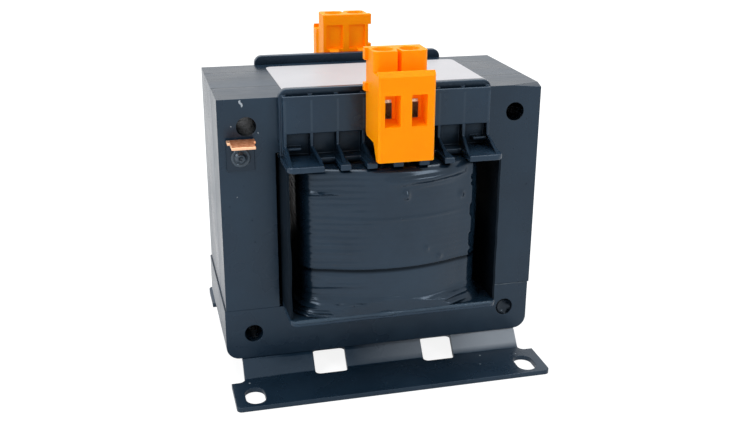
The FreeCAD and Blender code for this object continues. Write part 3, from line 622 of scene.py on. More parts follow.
def thread_tree(material):
    """A spiral ridge round an axis, and the identifier of the tree's axis input."""
    tree, given, keys = new_rule("screw_thread", Axis="NodeSocketVector")
    length = THREAD_TO_Z_MM - THREAD_FROM_Z_MM
    middle = (SHAFT_MM - THREAD_DEPTH_MM) * MM
    ridge = add(tree, "GeometryNodeCurveSpiral", {
        "Resolution": 24, "Rotations": length / THREAD_PITCH_MM, "Start Radius": middle,
        "End Radius": middle, "Height": length * MM,
    })
    profile = add(tree, "GeometryNodeCurvePrimitiveCircle", {
        "Resolution": 4, "Radius": THREAD_DEPTH_MM * MM,
    })
    solid = add(tree, "GeometryNodeCurveToMesh", {
        "Curve": ridge.outputs["Curve"], "Profile Curve": profile.outputs["Curve"],
        "Fill Caps": True,
    })
    placed = add(tree, "GeometryNodeTransform", {
        "Geometry": solid.outputs["Mesh"], "Translation": given.outputs["Axis"],
    })
    end_rule(tree, placed.outputs["Geometry"], material)
    return tree, keys["Axis"]


thread_rule, thread_axis = thread_tree(zinc_steel)
print("thread turns:", (THREAD_TO_Z_MM - THREAD_FROM_Z_MM) / THREAD_PITCH_MM)


# %% Screws and cages
def outward(piece):
    """Turns all faces of a closed piece outwards."""
    shape = bmesh.new()
    shape.from_mesh(piece.data)
    bmesh.ops.recalc_face_normals(shape, faces=shape.faces)
    shape.to_mesh(piece.data)
    shape.free()


def dress_clamp(side, pole):
    """One pole's screw with its thread, and its cage."""
    screw_node, cage_node = f"{side}_{pole}_clamp_screw", f"{side}_{pole}_clamp_cage"
    low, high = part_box(screw_node)
    axis = Vector(((low[0] + high[0]) / 2, (low[1] + high[1]) / 2, 0))

    def thin_shaft(shape):
        for vert in shape.verts:
            away = Vector((vert.co.x - axis.x, vert.co.y - axis.y, 0))
            if away.length < (SHAFT_MM + 0.02) * MM and vert.co.z < SCREW_HEAD_Z_MM * MM:
                vert.co -= away * (THREAD_DEPTH_MM / SHAFT_MM)

    eased(
        screw_node, f"{side}_{pole}_screw_turned", zinc_steel, 0.12, cut=thin_shaft,
        body=f"{side}_{pole}_screw",
    )
    thread = plain_object(f"{side}_{pole}_screw_thread", [], [], zinc_steel)
    grow(thread, thread_rule, {thread_axis: (axis.x, axis.y, THREAD_FROM_Z_MM * MM)})
    outward(thread)
    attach(thread, f"{side}_{pole}_screw")
    eased(
        cage_node, f"{side}_{pole}_cage_bent", zinc_steel, 0.12,
        body=f"{side}_{pole}_cage",
    )


for side in ("front", "rear"):
    for pole in ("left", "right"):
        dress_clamp(side, pole)

# %% [markdown]
# ## The taped coil
#
# Two layers of glass tape close the coil. The outer one ends in a ragged line near the front
# right corner and stops short of the bottom, and below it the inner tape crumples outwards onto the
# flange. One closed strip round the coil makes all of this: it is laid out as a grid, with the
# outline giving its path and a list of heights giving its section, and each point is pushed in or
# out by what lies there.

# %% The coil's outline
COIL_HALF_X_MM = 26.7
COIL_SIDE_Y_MM = 34.45
COIL_CROWN_MM = 4.2
COIL_CORNER_MM = 6.5
OUTLINE_STEP_MM = 0.7


def coil_path():
    """Points round the inner tape, from the middle of the right side leftwards over the rear."""
    hx, sy, crown, corner = COIL_HALF_X_MM, COIL_SIDE_Y_MM, COIL_CROWN_MM, COIL_CORNER_MM
    reach = hx - corner
    radius = (reach * reach + crown * crown) / (2 * crown)
    centre = sy + crown - radius
    half_angle = math.asin(reach / radius)
    points = [(hx, y) for y in (0, sy - corner)]
    for i in range(9):
        a = math.radians(90) * i / 8
        points.append((hx - corner + corner * math.cos(a), sy - corner + corner * math.sin(a)))
    for i in range(1, 24):
        a = half_angle - 2 * half_angle * i / 24
        points.append((radius * math.sin(a), centre + radius * math.cos(a)))
    for i in range(9):
        a = math.radians(90) + math.radians(90) * i / 8
        points.append((-hx + corner + corner * math.cos(a), sy - corner + corner * math.sin(a)))
    points.append((-hx, 0))
    rear = points[:-1]
    return rear + [(-x, -y) for x, y in rear]


def even_steps(points, step):
    """The closed path again, with points evenly spaced and its corners softened."""
    closed = points + points[:1]
    lengths = [math.dist(a, b) for a, b in zip(closed, closed[1:])]
    total = sum(lengths)
    count = round(total / step)
    out = []
    for i in range(count):
        want = total * i / count
        for (a, b), length in zip(zip(closed, closed[1:]), lengths):
            if want <= length:
                t = want / length
                out.append((a[0] + (b[0] - a[0]) * t, a[1] + (b[1] - a[1]) * t))
                break
            want -= length
    for _ in range(8):
        out = [
            tuple((out[i - 1][k] + 2 * out[i][k] + out[(i + 1) % count][k]) / 4 for k in (0, 1))
            for i in range(count)
        ]
    return out


coil_points = even_steps(coil_path(), OUTLINE_STEP_MM)
print("outline points:", len(coil_points))

# %% [markdown]
# The section lists heights with how far the surface stands out from the inner tape. A tag says
# which layer the height belongs to, because the outer tape's 0.5 mm drops away past its ragged
# end, while the skirt is folded.

# %% The tape's section and its marks
BAND_MM = 0.5
BAND_END_X_MM = 23.2
BAND_LOW_Z_MM = 38.5
FLANGE_TOP_Z_MM = 24.3
COIL_TOP_Z_MM = 67.9
SECTION = [
    (68.3, -5.5, "lid"), (68.3, -1.2, "lid"), (68.1, -0.6, "lid"), (67.6, -0.25, "top"),
    (66.9, 0.0, "band"),
]
SECTION += [(66.9 - 0.45 * i, 0.0, "band") for i in range(1, 62)]
SECTION += [(39.0, 0.1, "band"), (38.7, 0.1, "band"), (38.5, -0.1, "band")]
SECTION += [
    (38.5, -0.3, "groove"), (38.0, -0.3, "groove"), (37.5, -0.2, "groove"), (37.1, -0.05, "wrap"),
]
SECTION += [(37.0 - 0.6 * i, 0.0, "wrap") for i in range(1, 13)]
SECTION += [(29.6 - 0.22 * i, 0.0, "skirt") for i in range(0, 24)]
SECTION += [(FLANGE_TOP_Z_MM, 0.3, "foot")]
SECTION += [
    (FLANGE_TOP_Z_MM, -1.4, "inside"), (46.0, -1.4, "inside"), (COIL_TOP_Z_MM, -1.4, "inside"),
]
SECTION += [(COIL_TOP_Z_MM + 0.03, -5.5, "inside")]
# Each nib is a drop of varnish: x, z, width and height
NIBS_MM = [
    (2.0, 60.5, 0.85, 1.5), (8.6, 43.5, 0.5, 0.7), (12.8, 40.5, 0.55, 0.7), (19.5, 58.2, 0.6, 0.8),
]
# The skirt's own long folds sweep up towards the right
SWEEPS_MM = [
    (-4.0, 23.5, 25.3, 27.7, 1.0, 1.6), (3.0, 22.5, 24.2, 25.6, 0.5, 0.8),
    (-23.0, -6.0, 28.3, 26.4, 0.9, 1.2),
]
# Each fold is a raised line: its x range, height at both ends, width and how far it stands out
FOLDS_MM = [
    (-4.0, 21.0, 64.4, 65.6, 1.3, 1.3), (0.0, 17.0, 62.2, 63.2, 0.4, 0.3),
    (-25.0, -15.5, 61.2, 61.8, 0.6, 0.8),
    (-18.0, 20.0, 53.2, 53.6, 0.3, 0.36), (-21.0, -4.0, 51.9, 52.2, 0.25, 0.22),
    (-23.0, -12.0, 56.5, 56.9, 0.35, 0.35),
    (-23.0, -13.0, 47.5, 47.8, 0.35, 0.3), (-23.0, -12.0, 35.4, 35.9, 0.4, 0.45),
    (-24.0, -8.0, 33.2, 33.8, 0.4, 0.45),
    (-24.0, -11.0, 43.5, 43.8, 0.3, 0.25),
]


def raised_lines(x, z, folds):
    """How far the long folds stand out on the coil's front at one place."""
    total = 0.0
    for x0, x1, z0, z1, width, height in folds:
        along = (x - x0) / (x1 - x0)
        if 0 < along < 1:
            middle = z0 + (z1 - z0) * along + 0.25 * noise.noise(Vector((x * 0.15, 4, z0)))
            total += height * math.sin(math.pi * along) ** 0.5 * math.exp(
                -((z - middle) / width) ** 2
            )
    return total


def crumple(x, y, z):
    """The skirt: level folds that grow downwards, where the tape is pushed out onto the flange."""
    down = max(0.0, min(1.0, (29.6 - z) / 5.0))
    where = Vector((x * 0.045, y * 0.045, z * 0.55 - x * 0.012))
    ridge = 1 - abs(noise.noise(where)) * 2.4
    small = 1 - abs(noise.noise(where * 2.1 + Vector((5, 0, 0)))) * 2.2
    flare = 1.9 * down * down
    front = y < -20
    calm = 1 - 0.9 * max(0.0, min(1.0, (x + 2) / 8)) if front else 1.0
    swept = raised_lines(x, z, SWEEPS_MM) if front else 0.0
    return flare + swept + calm * min(1.0, 2.5 * down) * (
        1.15 * max(0.0, ridge) + 0.45 * max(0.0, small)
    )


def pooled_line_and_painted_shadow(material, z_mm, width_mm):
    """A dark line under the band: partly varnish pooled in the angle, partly painted shadow of the
    band's edge.
    """
    tree, shader, place = opened(material)
    height = add(tree, "ShaderNodeSeparateXYZ", {"Vector": place}).outputs["Z"]
    far = maths(tree, "SUBTRACT", height, z_mm * MM)
    far = maths(tree, "ABSOLUTE", far)
    clear = ranged(tree, far, (0.3 * width_mm * MM, width_mm * MM), (0.3, 1.0))
    # Painted shadow: colour and specular level drop towards the line under the band
    for socket in ("Base Color", "Specular IOR Level"):
        source = shader.inputs[socket].links[0].from_socket
        tree.links.new(product(tree, source, clear), shader.inputs[socket])


print("section heights:", len(SECTION), "folds:", len(FOLDS_MM), "nibs:", len(NIBS_MM))


# %% How far each point of the tape stands out
def tape_offset(x, y, z, tag):
    """How far the tape stands out at a place on the coil, in millimetres, beyond the section."""
    where = Vector((x, y, z))
    off = 0.0
    left = max(0.0, min(1.0, (-x - 6) / 12)) * max(0.0, min(1.0, (-y - 28) / 6))
    ragged = noise.noise(Vector((0, 3.1, z * 0.9)))
    drift = noise.noise(Vector((7, 1, z * 0.22)))
    wander = ragged * 0.3 + drift * 0.6
    past_end = BAND_END_X_MM + wander
    banded = not (x > past_end and -36 < y < 8)
    if tag in ("band", "top") and banded:
        # The band's own end curls up a little before it stops
        curl = math.exp(-((x - past_end) / 0.7) ** 2) if y < -20 else 0.0
        off += BAND_MM + 0.3 * curl
    if tag in ("band", "wrap"):
        off += 0.2 * noise.noise(where * 0.07)
        ridges = (0.02 + 0.13 * left) * math.sin(
            z * 2 * math.pi / 1.9 + 2.0 * noise.noise(where * 0.06)
        )
        off += ridges + left * 0.2 * noise.noise(Vector((x * 0.03, y * 0.03, z * 0.8)))
    if y < -20 and tag in ("band", "wrap", "top"):
        off += raised_lines(x, z, FOLDS_MM)
        for nib_x, nib_z, width, height in NIBS_MM:
            off += height * math.exp(
                -((x - nib_x) ** 2 + ((z - nib_z) / 1.5) ** 2) / (width * width)
            )
    if tag == "skirt":
        off += crumple(x, y, z)
    if tag == "foot":
        off += 1.9 + 0.5 * noise.noise(where * 0.09)
    return off


# %% Lay the tape out as a grid
SKIRT_LIMIT_Y_MM = 38.2
vertices, faces = [], []
count = len(coil_points)
for index, (x, y) in enumerate(coil_points):
    before, after = coil_points[index - 1], coil_points[(index + 1) % count]
    across = Vector((after[1] - before[1], before[0] - after[0], 0)).normalized()
    for z, out, tag in SECTION:
        move = out + (0 if tag in ("inside", "lid") else tape_offset(x, y, z, tag))
        point = Vector((x + across.x * move, y + across.y * move, z))
        if tag in ("skirt", "foot"):
            # The skirt stays behind the flange's lip
            limit = SKIRT_LIMIT_Y_MM + max(0.0, z - 25.0) * 0.22
            point.y = max(-limit, min(limit, point.y))
        vertices.append(point * MM)
rows = len(SECTION)
for i in range(count):
    j = (i + 1) % count
    for k in range(rows):
        m = (k + 1) % rows
        faces.append((i * rows + k, j * rows + k, j * rows + m, i * rows + m))
# The tape's hollows, in the dark window beside the coil, get painted shade
varnished_tape = varnish(
    "varnish_on_coil_tape", "#101f2d", "#1a2b3a", 0.2, peel=0.22, grain_mm=0.5, painted_shade_mm=9.0,
    ior=1.54,
)
# Painted shadow, with some pooled varnish, along the line under the band
pooled_line_and_painted_shadow(varnished_tape, 38.0, 1.0)
coil_tape = plain_object("coil_tape", vertices, faces, varnished_tape)
outward(coil_tape)
smoothed(coil_tape, 70)
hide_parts("tape_wrap", "tape_band")
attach(coil_tape, STILL)
low, high = Vector(coil_tape.bound_box[0]) / MM, Vector(coil_tape.bound_box[6]) / MM
print(
    "tape faces:", len(faces), "from", [round(v, 1) for v in low], "to",
    [round(v, 1) for v in high],
)

# %% [markdown]
# ## The pressboard cheeks
#
# A sheet of pressboard stands on each side between coil and core. It was cut by hand and soaked, so
# it bows a little and its free front edge is uneven. A grid with a small wave and a
# Solidify modifier gives it its 0.6 mm.


# %% Cheeks
def cheek(side, node):
    """One board; side is -1 on the left and 1 on the right."""
    low, high = (Vector(c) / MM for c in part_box(node))
    middle = (low.x + high.x) / 2
    ys = [low.y + (high.y - low.y) * i / 48 for i in range(49)]
    zs = [low.z + (high.z - low.z) * k / 24 for k in range(25)]
    points = []
    for i, y in enumerate(ys):
        for z in zs:
            bow = 0.35 * noise.noise(Vector((side * 5, y * 0.05, z * 0.06)))
            free = max(0.0, (abs(y) - 24) / 12)
            ragged = noise.noise(Vector((side * 2, y * 0.01, z * 0.25)))
            edge = 0.5 * ragged if i in (0, 48) else 0.0
            x = middle - side * abs(bow) * (0.4 + free)
            points.append(Vector((x, y + edge, z)) * MM)
    rows = len(zs)
    grid = [
        (i * rows + k, (i + 1) * rows + k, (i + 1) * rows + k + 1, i * rows + k + 1)
        for i in range(48) for k in range(rows - 1)
    ]
    piece = plain_object(node.replace("side_", "board_"), points, grid, varnished_board)
    thick = piece.modifiers.new("board", "SOLIDIFY")
    thick.thickness = (high.x - low.x) * MM
    thick.offset = 0
    bake(piece)
    smoothed(piece, 40)
    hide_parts(node)
    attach(piece, STILL)
    print(piece.name, "faces:", len(piece.data.polygons))


cheek(-1, "side_cheek_left")
cheek(1, "side_cheek_right")

# %% [markdown]
# ## Label, varnish plug, rivet and paint chip
#
# The label is punched from film with round corners, and a chip of pale paint sits near the core's
# top left edge: a flat outline raised by a thickness makes both. Varnish has dried as a shallow
# dish in one of the core's holes, and the rivet's head is a dome inside a ring. Both of those are
# turned shapes: a profile of radii and heights, swept round an axis.


# %% Flat and turned pieces
def raised_outline(name, outline, normal, thickness_mm, material):
    """A flat outline in millimetres, given thickness along its normal."""
    shape = bmesh.new()
    base = [shape.verts.new(Vector(p) * MM) for p in outline]
    face = shape.faces.new(base)
    lifted = bmesh.ops.extrude_face_region(shape, geom=[face])
    top = [g for g in lifted["geom"] if isinstance(g, bmesh.types.BMVert)]
    bmesh.ops.translate(shape, verts=top, vec=Vector(normal) * thickness_mm * MM)
    bmesh.ops.recalc_face_normals(shape, faces=shape.faces)
    piece = plain_object(name, [], [], material)
    shape.to_mesh(piece.data)
    shape.free()
    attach(piece, STILL)
    return piece


def turned_about_y(name, middle_mm, profile_mm, material, steps=40):
    """A turned piece. The profile runs from front to back as radius and distance to the front."""
    points, faces = [], []
    x, y, z = middle_mm
    rings = [p for p in profile_mm if p[0] > 0]
    for radius, ahead in rings:
        for step in range(steps):
            a = 2 * math.pi * step / steps
            points.append(
                Vector((x + radius * math.cos(a), y - ahead, z + radius * math.sin(a))) * MM
            )
    for ring in range(len(rings) - 1):
        for step in range(steps):
            after = (step + 1) % steps
            here, behind = ring * steps, (ring + 1) * steps
            faces.append((here + step, here + after, behind + after, behind + step))
    for ring, ahead in ((0, profile_mm[0][1]), (len(rings) - 1, profile_mm[-1][1])):
        points.append(Vector((x, y - ahead, z)) * MM)
        for step in range(steps):
            faces.append((ring * steps + step, ring * steps + (step + 1) % steps, len(points) - 1))
    piece = plain_object(name, points, faces, material)
    outward(piece)
    smoothed(piece, 50)
    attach(piece, STILL)
    return piece


# %% Label
LABEL_CORNER_MM = 2.0
low, high = (Vector(c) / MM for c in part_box("rating_label"))
outline = []
for cx, cy, start in (
    (high.x, high.y, 0), (low.x, high.y, 90), (low.x, low.y, 180), (high.x, low.y, 270),
):
    inward = (cx - math.copysign(LABEL_CORNER_MM, cx), cy - math.copysign(LABEL_CORNER_MM, cy))
    for step in range(9):
        a = math.radians(start + 90 * step / 8)
        across, along = LABEL_CORNER_MM * math.cos(a), LABEL_CORNER_MM * math.sin(a)
        outline.append((inward[0] + across, inward[1] + along, low.z))
label = raised_outline("label_sheet", outline, (0, 0, 1), high.z - low.z, label_film)
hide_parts("rating_label")
print("label corner radius", LABEL_CORNER_MM, "mm")

# %% Plug, rivet and chip
HOLE_MM = (40.0, 14.4)
CORE_FACE_Y_MM = -22.85
PLUG_PROFILE_MM = [
    (0, -1.5), (0.8, -1.48), (1.5, -1.35), (2.1, -1.0), (2.45, -0.6), (2.7, -0.1), (2.74, -0.1),
    (2.74, -2.5), (0, -2.5),
]
turned_about_y(
    "hole_varnish_plug", (HOLE_MM[0], CORE_FACE_Y_MM, HOLE_MM[1]), PLUG_PROFILE_MM, pooled_varnish_and_hole_shade,
)
low, high = (Vector(c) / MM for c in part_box("earth_rivet"))
RIVET_AHEAD_MM = 1.5
RIVET_PROFILE_MM = [
    (0, 0.8), (0.3, 0.86), (0.5, 1.15), (0.75, 1.42), (1.05, 1.42), (1.3, 1.1), (1.6, 0.66),
    (1.85, 0.5),
    (2.05, 0.62), (2.3, 0.72), (2.6, 0.6), (2.8, 0.3), (2.8, 0.0), (1.6, 0.0), (1.6, -6.8),
    (0, -6.8),
]
rivet = turned_about_y(
    "rivet_head", ((low.x + high.x) / 2, low.y + RIVET_AHEAD_MM, (low.z + high.z) / 2),
    RIVET_PROFILE_MM, varnished_rivet,
)
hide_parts("earth_rivet")
white_paint, tree, shader, place = new_material("chip_of_white_paint")
shader.inputs["Base Color"].default_value = hex_linear("#a4b0ba")
shader.inputs["Roughness"].default_value = 0.5
chip_outline = [
    (-41.9, CORE_FACE_Y_MM, 85.9), (-41.3, CORE_FACE_Y_MM, 86.1), (-41.3, CORE_FACE_Y_MM, 85.5),
    (-40.8, CORE_FACE_Y_MM, 85.1),
    (-40.7, CORE_FACE_Y_MM, 84.4), (-41.1, CORE_FACE_Y_MM, 84.0), (-41.3, CORE_FACE_Y_MM, 84.8),
    (-41.8, CORE_FACE_Y_MM, 85.2),
]
raised_outline("paint_chip", chip_outline, (0, -1, 0), 0.06, white_paint)
print("plug at", HOLE_MM, "chip corners:", len(chip_outline))

# %% [markdown]
# ## Flecks, a drained bead and the seam's run
#
# Dipping leaves marks of its own. Pale flecks stick to the face and the foot, varnish drains to
# the lower flange's lip and sets there as an uneven bead, and a thin run follows the seam
# between the E and the I sheets. Each is a small closed shape, since a real edge catches light.

# %% Flecks
FACE_FLECKS_MM = [(-44.2, 78.7, 0.18), (-36.7, 76.5, 0.22), (-43.3, 58.0, 0.15)]
FOOT_FLECKS_MM = [(30.1, -29.4, 0.3), (28.2, -34.7, 0.2), (41.5, -30.9, 0.25), (-42.7, -29.6, 0.25)]
FOOT_TOP_Z_MM = 1.5


def fleck(name, middle, across, up, normal, size):
    """A small uneven speck: seven corners round its middle."""
    picks = random.Random(name)
    corners = []
    for step in range(7):
        a, r = math.radians(360 * step / 7), size * picks.uniform(0.6, 1.2)
        corners.append(
            Vector(middle) + Vector(across) * r * math.cos(a) + Vector(up) * r * math.sin(a)
        )
    raised_outline(name, corners, normal, 0.05, white_paint)


for number, (x, z, size) in enumerate(FACE_FLECKS_MM):
    fleck(
        f"face_fleck_{number}", (x, CORE_FACE_Y_MM, z), (1, 0, 0), (0, 0, 1), (0, -1, 0), size,
    )
for number, (x, y, size) in enumerate(FOOT_FLECKS_MM):
    fleck(
        f"foot_fleck_{number}", (x, y, FOOT_TOP_Z_MM), (1, 0, 0), (0, 1, 0), (0, 0, 1), size,
    )
print("flecks:", len(FACE_FLECKS_MM) + len(FOOT_FLECKS_MM))

# %% Bead on the lip and run on the seam
BEAD_FROM_X_MM, BEAD_STEP_MM = -30.6, 0.6
LIP_Y_MM, LIP_Z_MM = -37.95, 24.05


def lip_bead():
    """Varnish that drained to the lower flange's front lip and set there as an uneven bead."""
    points, faces, sides = [], [], 10
    count = int(2 * -BEAD_FROM_X_MM / BEAD_STEP_MM) + 1
    for i in range(count):
        x = BEAD_FROM_X_MM + BEAD_STEP_MM * i
        end = min(1.0, (0.3 + min(i, count - 1 - i)) / 3)
        swell = noise.noise(Vector((x * 0.16, 9, 2)))
        ripple = noise.noise(Vector((x * 0.8, 1, 4)))
        thick = end * (0.65 + 0.35 * swell + 0.12 * ripple)
        for k in range(sides):
            a = 2 * math.pi * k / sides
            points.append(
                Vector((x, LIP_Y_MM + thick * math.cos(a), LIP_Z_MM + thick * math.sin(a))) * MM
            )
    for i in range(count - 1):
        for k in range(sides):
            after = (k + 1) % sides
            faces.append(
                (i * sides + k, i * sides + after, (i + 1) * sides + after, (i + 1) * sides + k)
            )
    faces += [tuple(range(sides)), tuple(range((count - 1) * sides, count * sides))]
    piece = plain_object("lip_varnish_bead", points, faces, varnish_bead)
    outward(piece)
    for polygon in piece.data.polygons:
        polygon.use_smooth = len(polygon.vertices) == 4
    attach(piece, STILL)
    return piece


varnish_bead = varnish("varnish_bead_on_lip", "#1a2c3b", "#2a3c4b", 0.25, peel=0.3, ior=1.58)
print("bead faces:", len(lip_bead().data.polygons))
SEAM_Z_MM = 22.4
RUN_BACK_Y_MM = CORE_FACE_Y_MM + 0.05
run_outline = [
    (x, RUN_BACK_Y_MM, SEAM_Z_MM + 0.12 + 0.08 * math.sin(x * 2.1)) for x in range(33, 48)
]
run_outline += [
    (x, RUN_BACK_Y_MM, SEAM_Z_MM - 0.12 - 0.08 * math.sin(x * 1.3)) for x in range(47, 32, -1)
]
raised_outline("seam_run", run_outline, (0, -1, 0), 0.2, varnished_rivet)
print("seam run corners:", len(run_outline))

# %% [markdown]
# ## Drops of varnish, by Geometry Nodes
#
# Dipping leaves small drops where varnish ran and dried. Placing each by hand would take long and
# look regular, so a node tree scatters points on a copy of a piece's faces by a seeded rule,
# sets a small half-sunk sphere on each, and makes the instances real so that the export has them.


# %% Scatter tree
def scatter_tree(material):
    """Half-sunk drops scattered over a face, and the identifiers of the tree's inputs."""
    tree, given, keys = new_rule(
        "varnish_drops", Density="NodeSocketFloat", Smallest="NodeSocketFloat",
        Largest="NodeSocketFloat", Seed="NodeSocketInt",
    )
    points = add(tree, "GeometryNodeDistributePointsOnFaces", {
        "Mesh": given.outputs["Geometry"], "Density": given.outputs["Density"],
        "Seed": given.outputs["Seed"],
    })
    drop = add(tree, "GeometryNodeMeshIcoSphere", {"Radius": 1.0, "Subdivisions": 2})
    size = add(tree, "FunctionNodeRandomValue", {
        "Min": given.outputs["Smallest"], "Max": given.outputs["Largest"],
        "Seed": given.outputs["Seed"],
    }, data_type="FLOAT")
    drops = add(tree, "GeometryNodeInstanceOnPoints", {
        "Points": points.outputs["Points"], "Instance": drop.outputs["Mesh"],
        "Scale": size.outputs["Value"],
    })
    end_copies(tree, drops.outputs["Instances"], material)
    return tree, keys


def scatter_drops(name, corners_mm, density, smallest_mm, largest_mm, seed):
    """Drops on a flat patch given by its corners; density is in drops a square metre."""
    patch = plain_object(
        name, [Vector(c) * MM for c in corners_mm], [tuple(range(len(corners_mm)))],
        varnished_bracket,
    )
    grow(patch, drop_tree, {
        drop_keys["Density"]: density, drop_keys["Smallest"]: smallest_mm * MM,
        drop_keys["Largest"]: largest_mm * MM, drop_keys["Seed"]: seed,
    })
    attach(patch, STILL)
    print(name, "faces:", len(patch.data.polygons))


drop_tree, drop_keys = scatter_tree(varnished_bracket)
scatter_drops(
    "core_drops_left",
    [
        (-47, CORE_FACE_Y_MM, 24), (-33, CORE_FACE_Y_MM, 24), (-33, CORE_FACE_Y_MM, 84),
        (-47, CORE_FACE_Y_MM, 84),
    ],
    9000.0, 0.08, 0.22, 7,
)
scatter_drops(
    "core_drops_right",
    [
        (34, CORE_FACE_Y_MM, 24), (47, CORE_FACE_Y_MM, 24), (47, CORE_FACE_Y_MM, 84),
        (34, CORE_FACE_Y_MM, 84),
    ],
    6000.0, 0.08, 0.2, 11,
)
scatter_drops(
    "flange_drops",
    [
        (-46, -41.5, FOOT_TOP_Z_MM), (46, -41.5, FOOT_TOP_Z_MM), (46, -27.5, FOOT_TOP_Z_MM),
        (-46, -27.5, FOOT_TOP_Z_MM),
    ],
    9000.0, 0.08, 0.25, 5,
)

# %% [markdown]
# ## Weld beads
#
# A weld bead is a row of frozen ripples, each laid over the one before. The tree runs a line
# through the bead and puts a sphere at every 0.9 mm, each squashed a little differently.


# %% Weld ripples
RIPPLE_STEP_MM = 0.9
RIPPLE_RADIUS_MM = 1.25


def weld_tree(material):
    """Ripples of weld along each edge of a mesh of loose edges."""
    tree, given, _ = new_rule("weld_ripples")
    seam = add(tree, "GeometryNodeMeshToCurve", {"Mesh": given.outputs["Geometry"]})
    steps = add(tree, "GeometryNodeResampleCurve", {
        "Curve": seam.outputs["Curve"], "Length": RIPPLE_STEP_MM * MM,
    }, mode="LENGTH")
    ripple = add(tree, "GeometryNodeMeshUVSphere", {"Segments": 16, "Rings": 10, "Radius": 1.0})
    uneven = add(tree, "FunctionNodeRandomValue", {
        "Min": (0.75, 0.95, 0.95), "Max": (0.95, 1.1, 1.1), "Seed": 3,
    }, data_type="FLOAT_VECTOR")
    sized = add(tree, "ShaderNodeVectorMath", {
        0: uneven.outputs["Value"], "Scale": RIPPLE_RADIUS_MM * MM,
    }, operation="SCALE")
    beads = add(tree, "GeometryNodeInstanceOnPoints", {
        "Points": steps.outputs["Curve"], "Instance": ripple.outputs["Mesh"],
        "Scale": sized.outputs["Vector"],
    })
    end_copies(tree, beads.outputs["Instances"], material)
    return tree


def bead_seams(node):
    """The middle line of each loose bead of the solid, from end to end."""
    shape = solid_shape(node)
    shape.verts.ensure_lookup_table()
    left, seams = set(shape.verts), []
    while left:
        island, grow = [], [left.pop()]
        while grow:
            vert = grow.pop()
            island.append(vert.co.copy())
            for edge in vert.link_edges:
                other = edge.other_vert(vert)
                if other in left:
                    left.remove(other)
                    grow.append(other)
        xs = [p.x for p in island]
        middle = sum((Vector((0, p.y, p.z)) for p in island), Vector()) / len(island)
        seams.append(
            (Vector((min(xs) + MM, middle.y, middle.z)), Vector((max(xs) - MM, middle.y, middle.z)))
        )
    shape.free()
    return seams


seams = bead_seams("bracket_weld_beads")
welds = plain_object("weld_ripples", [], [], varnished_bracket)
welds.data.clear_geometry()
welds.data.from_pydata(
    [p for seam in seams for p in seam], [(2 * i, 2 * i + 1) for i in range(len(seams))], [],
)
grow(welds, weld_tree(varnished_bracket), {})
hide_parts("bracket_weld_beads")
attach(welds, STILL)
print("weld seams:", len(seams), "faces:", len(welds.data.polygons))

# %% [markdown]
# ## Finishes for the pieces that keep their solid
#
# The windings, leads and contact bars are already right in shape and hardly seen, so they keep
# their meshes and only get a material.

# %% Assign finishes
FINISHES = {
    "primary_winding": enamelled_wire, "secondary_winding": enamelled_wire,
    "layer_insulation": layer_paper,
}
for node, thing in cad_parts.items():
    finish = FINISHES.get(node)
    if "contact_bar" in node:
        finish = tinned_brass
    if node.endswith("_lead"):
        finish = enamelled_wire
    if finish:
        thing.data.materials.clear()
        thing.data.materials.append(finish)
print("finished solids:", len([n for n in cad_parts.values() if n.data.materials]))

# %% [markdown]
# ## Floor and light
#
# The floor and the world are white to the camera and to mirrors, through Light Path, and
# plain to everything else, so the object isn't lit by its own background. Three soft lamps and a
# weak world light bring a surface to about its written colour.

# %% Floor
FLOOR_REACH_M = 3
FLOOR_DROP_MM = 0.05
corners = [(x * FLOOR_REACH_M, y * FLOOR_REACH_M) for x, y in ((-1, -1), (1, -1), (1, 1), (-1, 1))]
floor = plain_object(
    "floor", [Vector((x, y, -FLOOR_DROP_MM * MM)) for x, y in corners], [(0, 1, 2, 3)], None,
)
floor_material = bpy.data.materials.new("pale_floor")
floor_material.use_nodes = True
tree = floor_material.node_tree
tree.nodes.clear()
matt = add(tree, "ShaderNodeBsdfDiffuse", {"Color": hex_linear("#f4f5f6")})
glow = add(tree, "ShaderNodeEmission", {"Color": hex_linear("#ffffff"), "Strength": 1.25})
path = add(tree, "ShaderNodeLightPath")
seen = maths(tree, "MULTIPLY", path.outputs["Is Camera Ray"], 0.7)
across = add(tree, "ShaderNodeSeparateXYZ", {
    "Vector": add(tree, "ShaderNodeTexCoord").outputs["Object"],
})
sweep = ranged(tree, across.outputs["X"], (-0.1, 0.35), (0.03, 0.7))
mirrored = maths(tree, "MULTIPLY", path.outputs["Is Glossy Ray"], sweep)
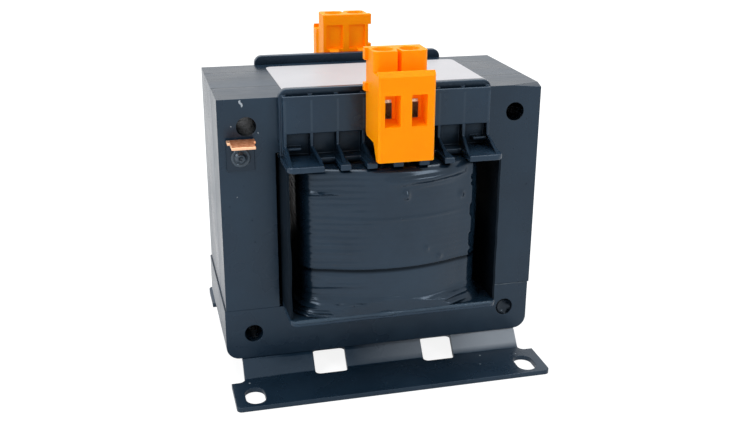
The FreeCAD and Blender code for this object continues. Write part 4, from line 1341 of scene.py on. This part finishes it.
either = maths(tree, "ADD", seen, mirrored, use_clamp=True)
surface = add(tree, "ShaderNodeMixShader", {
    "Fac": either, 1: matt.outputs["BSDF"], 2: glow.outputs["Emission"],
})
add(tree, "ShaderNodeOutputMaterial", {"Surface": surface.outputs["Shader"]})
floor.data.materials.clear()
floor.data.materials.append(floor_material)
print("floor at z =", floor.data.vertices[0].co.z)

# %% World and lamps
WORLD_LIGHT = 0.45
world = bpy.data.worlds.new("studio")
bpy.context.scene.world = world
world.use_nodes = True
tree = world.node_tree
tree.nodes.clear()
path = add(tree, "ShaderNodeLightPath")
seen = maths(tree, "MAXIMUM", path.outputs["Is Camera Ray"], path.outputs["Is Glossy Ray"])
through = maths(tree, "MAXIMUM", seen, path.outputs["Is Transmission Ray"])
level = ranged(tree, through, (0.0, 1.0), (WORLD_LIGHT, 1.0))
sky = add(tree, "ShaderNodeBackground", {
    "Color": hex_linear("#ffffff"), "Strength": level,
})
add(tree, "ShaderNodeOutputWorld", {"Surface": sky.outputs["Background"]})


def lamp(name, spot, aim, size, power):
    """A soft rectangular lamp at a spot, turned to its aim."""
    data = bpy.data.lights.new(name, "AREA")
    data.shape = "RECTANGLE"
    data.size, data.size_y = size
    data.energy = power
    thing = bpy.data.objects.new(name, data)
    bpy.context.scene.collection.objects.link(thing)
    turn = (Vector(aim) - Vector(spot)).to_track_quat("-Z", "Y")
    thing.matrix_world = Matrix.Translation(Vector(spot)) @ turn.to_matrix().to_4x4()
    print(name, "power", power, "W at", spot)


MIDDLE_M = (0, 0, 0.05)
lamp("left_softbox", (-0.9, -0.35, 0.75), MIDDLE_M, (0.55, 0.55), 5.2)
lamp("overhead_softbox", (0.1, 0.3, 1.15), MIDDLE_M, (1.0, 1.0), 10.5)
lamp("front_fill", (0.65, -1.0, 0.72), MIDDLE_M, (0.4, 0.35), 2.5)

# %% [markdown]
# ## The view transform
#
# The scene's view transform is set to Standard.

# %% Set the view transform
bpy.context.scene.view_settings.view_transform = "Standard"
